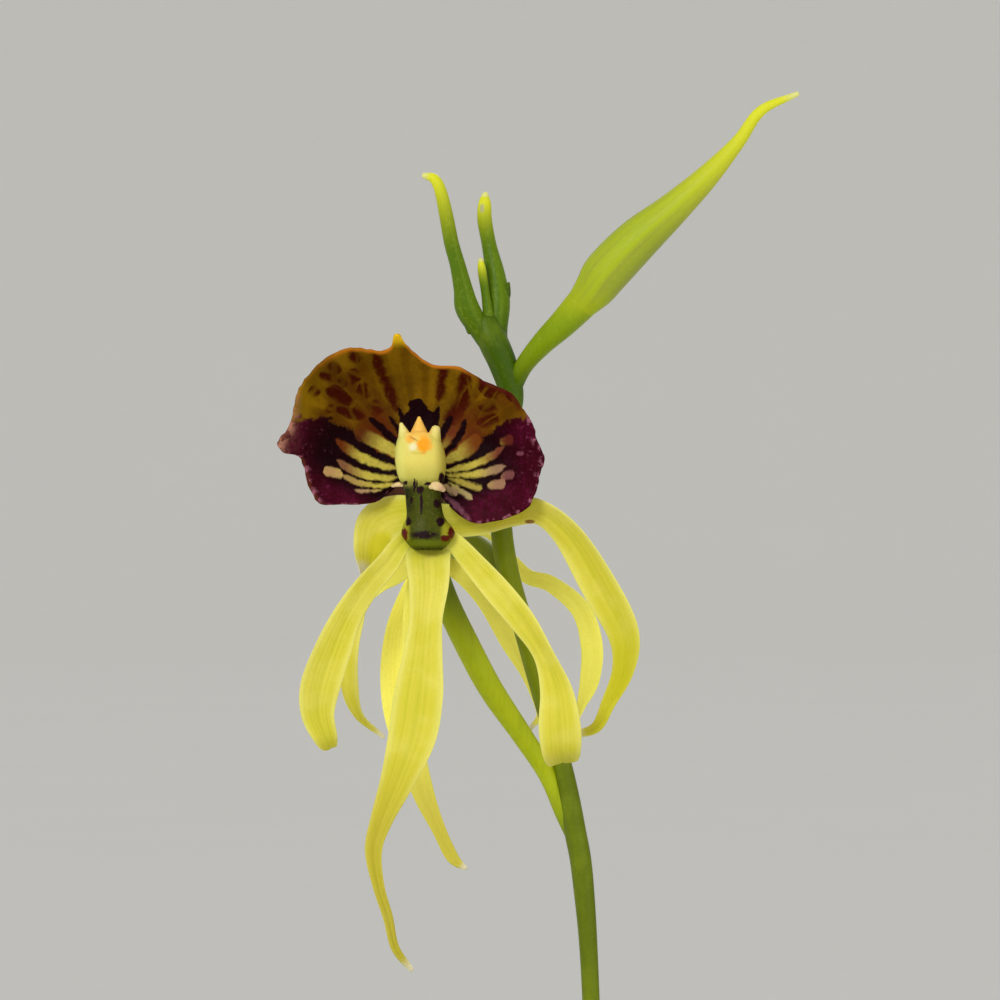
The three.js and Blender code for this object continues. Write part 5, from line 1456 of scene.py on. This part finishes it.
class ORCHID_OT_lips(bpy.types.Operator):
    """Shapes the shell-like lips, with their ragged edges"""
    bl_idname = "orchid.lips"
    bl_label = "Lips"

    def execute(self, context):
        material = lip_finish(context.scene.orchid_flower)
        outline = [*LIP_OUTLINE, LIP_OUTLINE[0]]
        shares = np.linspace(0, 1, LIP_ROWS)
        rows = [(share, 1) for share in shares] + [(share, -1) for share in reversed(shares[:-1])]
        for flower, placed in FRAMES.items():
            def shape(row, angle, flower=flower, placed=placed):
                share, side = row
                x, z = spline(outline, angle / (2 * math.pi))
                if flower == "rear" and z < 0:
                    z *= REAR_LOBE_DROP
                ragged = 1 + 0.012 * noise.noise(Vector((x, z, 0)) * 1.4) * share ** 6
                x, z = x * share * ragged, z * share * ragged
                ridge = 0.1 * math.sin(LIP_RIDGES * math.atan2(x, z)) * min(share * 2, 1) * (1 - share ** 6)
                frill = 0.3 * noise.noise(Vector((x, z, 3)) * 0.8) * share ** 5
                half = LIP_THICKNESS / 2 * math.sqrt(max(0, 1 - share ** 16))
                depth = lip_depth(x, z) + ridge + frill - side * half
                point = placed @ Vector((LIP_MIDDLE.x + x, depth, LIP_MIDDLE.z + z))
                return point, Vector((x, side * max(share, 0.01), z))

            skin = new_skin()
            add_wrapped(skin, rows, LIP_SIDES, shape)
            finish_piece(skin, f"striped_{flower}_lip", material, [f"{flower}_lip"])
        return {"FINISHED"}


class ORCHID_OT_columns(bpy.types.Operator):
    """Shapes the columns, with their teeth and anthers"""
    bl_idname = "orchid.columns"
    bl_label = "Columns and anthers"

    def execute(self, context):
        settings = context.scene.orchid_flower
        column_material, anther_material = column_finish(settings), anther_finish(settings)
        callus_material = callus_finish()
        for flower, placed in FRAMES.items():
            def shape(row, angle):
                share, shrink = row
                z, x, half_width, half_depth = spline(COLUMN_RINGS, share)
                near = math.exp(-((z - COLUMN_HOLLOW["height"]) / COLUMN_HOLLOW["spread"]) ** 2)
                hollow = COLUMN_HOLLOW["depth"] * near * max(0, -math.sin(angle)) ** 3
                out = half_depth * math.sin(angle) * (1 - hollow)
                point = Vector((x + half_width * math.cos(angle) * shrink, out * shrink, z))
                return point, point.copy()

            skin = new_skin()
            flat = skin.verts.layers.float_vector["flat"]
            body = [(0, 0)] + [(share, 1) for share in np.linspace(0, 1, COLUMN_ROWS)] + [(1, 0.6), (1, 0)]
            add_wrapped(skin, body, COLUMN_SIDES, shape)
            for start, end, foot_size, tip_size in COLUMN_TEETH:
                middle = (Vector(start) + Vector(end)) / 2
                stations = [(*start, foot_size), (*middle, (foot_size + tip_size) / 2), (*end, tip_size)]
                add_swept(skin, stations, round_section(), steps=14, sides=20, cap=0.4)
            for vert in skin.verts:
                vert[flat] = vert.co / MM
            set_in_flower(skin, placed)
            finish_piece(skin, f"marked_{flower}_column", column_material, [f"{flower}_column"])

            skin = new_skin()
            flat = skin.verts.layers.float_vector["flat"]
            bmesh.ops.create_uvsphere(skin, u_segments=32, v_segments=20, radius=ANTHER["radius"])
            for vert in skin.verts:
                groove = ANTHER["groove"] * math.exp(-(vert.co.x / ANTHER["groove_width"]) ** 2)
                squashed = Vector((vert.co.x * ANTHER["wide"], vert.co.y * ANTHER["deep"], vert.co.z))
                spot = squashed * (1 - groove) + ANTHER["middle"]
                vert[flat] = spot
                vert.co = placed @ spot * MM
            finish_piece(skin, f"{flower}_anther_cap", anther_material, [f"{flower}_anther"])

            skin = new_skin()
            for stations in CALLUS:
                add_swept(skin, stations, round_section(4, 0.1), steps=20, sides=20, cap=0.4)
            set_in_flower(skin, placed)
            finish_piece(skin, f"{flower}_callus", callus_material, [])
        return {"FINISHED"}


# Stage

FLOOR_BENDS = 17
FLOOR_SIDES = 96
# Lights: place in metres, size in metres and power in watts
LIGHTS = {
    "key_light": ((-0.75, -1.35, 1.1), 0.7, 14.0),
    "fill_light": ((0.95, -1.2, 0.55), 0.8, 3.5),
    "back_light": ((0.35, 1.3, 1.2), 0.8, 7.0),
}
LIGHTS_AIM = Vector((0, 0, 0.3))
SKY_STRENGTH = 0.95
SENSOR_WIDTH = 36
# The nearest and farthest that the camera sees, in metres
VIEW_DEPTH = (0.05, 100)


class ORCHID_OT_stage(bpy.types.Operator):
    """Sets the camera, floor and light"""
    bl_idname = "orchid.stage"
    bl_label = "Stage"

    def execute(self, context):
        settings = context.scene.orchid_stage
        scene = context.scene
        level, bend = settings.floor_radius / MM, settings.floor_radius / MM / 3
        profile = [(0, 0)] + [
            (level + bend * math.sin(a), bend * (1 - math.cos(a)))
            for a in np.linspace(0, math.pi / 2, FLOOR_BENDS)]
        skin = bmesh.new()
        add_turned(skin, profile, FLOOR_SIDES)
        made = Finish("pale_floor", roughness=0.8, specular=0.2)
        cloudy = made.noise(made.place, 3, 3)
        colour = made.mix(made.times(cloudy, 0.1), settings.floor, "#dddcd8")
        settle(skin, "pale_floor", made.done(colour))

        world = bpy.data.worlds.new("studio")
        world.use_nodes = True
        background = world.node_tree.nodes["Background"]
        background.inputs["Color"].default_value = settings.backdrop
        background.inputs["Strength"].default_value = SKY_STRENGTH
        scene.world = world

        for name, (place, size, power) in LIGHTS.items():
            lamp = bpy.data.lights.new(name, "AREA")
            lamp.size = size
            lamp.energy = power
            light = bpy.data.objects.new(name, lamp)
            light.location = place
            light.rotation_euler = (LIGHTS_AIM - Vector(place)).to_track_quat("-Z", "Y").to_euler()
            light.visible_camera = False
            scene.collection.objects.link(light)

        lens = bpy.data.cameras.new("photograph_view")
        lens.sensor_width = SENSOR_WIDTH
        lens.lens = SENSOR_WIDTH * settings.distance / settings.frame_width
        lens.clip_start, lens.clip_end = VIEW_DEPTH
        camera = bpy.data.objects.new("photograph_view", lens)
        camera.location = (0, -settings.distance - settings.eye_front, settings.eye_height)
        camera.rotation_euler = (math.pi / 2, 0, 0)
        scene.collection.objects.link(camera)
        scene.camera = camera
        scene.view_settings.view_transform = "Standard"
        return {"FINISHED"}


MAKERS = [
    ORCHID_OT_pot, ORCHID_OT_bark, ORCHID_OT_roots, ORCHID_OT_bulbs,
    ORCHID_OT_sheaths, ORCHID_OT_leaves, ORCHID_OT_spike, ORCHID_OT_buds,
    ORCHID_OT_tepals, ORCHID_OT_lips, ORCHID_OT_columns, ORCHID_OT_stage,
]
SETTINGS = {
    "orchid_pot": PotSettings, "orchid_bark": BarkSettings, "orchid_plant": PlantSettings,
    "orchid_spike": SpikeSettings, "orchid_flower": FlowerSettings, "orchid_stage": StageSettings,
}


class VIEW3D_PT_orchid(bpy.types.Panel):
    """Lists the pieces of the orchid and their settings"""
    bl_label = "Orchid"
    bl_idname = "VIEW3D_PT_orchid"
    bl_space_type = "VIEW_3D"
    bl_region_type = "UI"
    bl_category = "Orchid"

    def draw(self, context):
        for maker in MAKERS:
            self.layout.operator(maker.bl_idname)
        for name, group in SETTINGS.items():
            box = self.layout.box()
            box.label(text=group.__doc__)
            for setting in group.__annotations__:
                box.prop(getattr(context.scene, name), setting)


def register():
    for kind in [*SETTINGS.values(), *MAKERS, VIEW3D_PT_orchid]:
        bpy.utils.register_class(kind)
    for name, group in SETTINGS.items():
        setattr(bpy.types.Scene, name, PointerProperty(type=group))


def unregister():
    for name in SETTINGS:
        delattr(bpy.types.Scene, name)
    for kind in reversed([*SETTINGS.values(), *MAKERS, VIEW3D_PT_orchid]):
        bpy.utils.unregister_class(kind)


def main():
    register()
    for maker in MAKERS:
        group, name = maker.bl_idname.split(".")
        getattr(getattr(bpy.ops, group), name)()


if __name__ == "__main__":
    main()
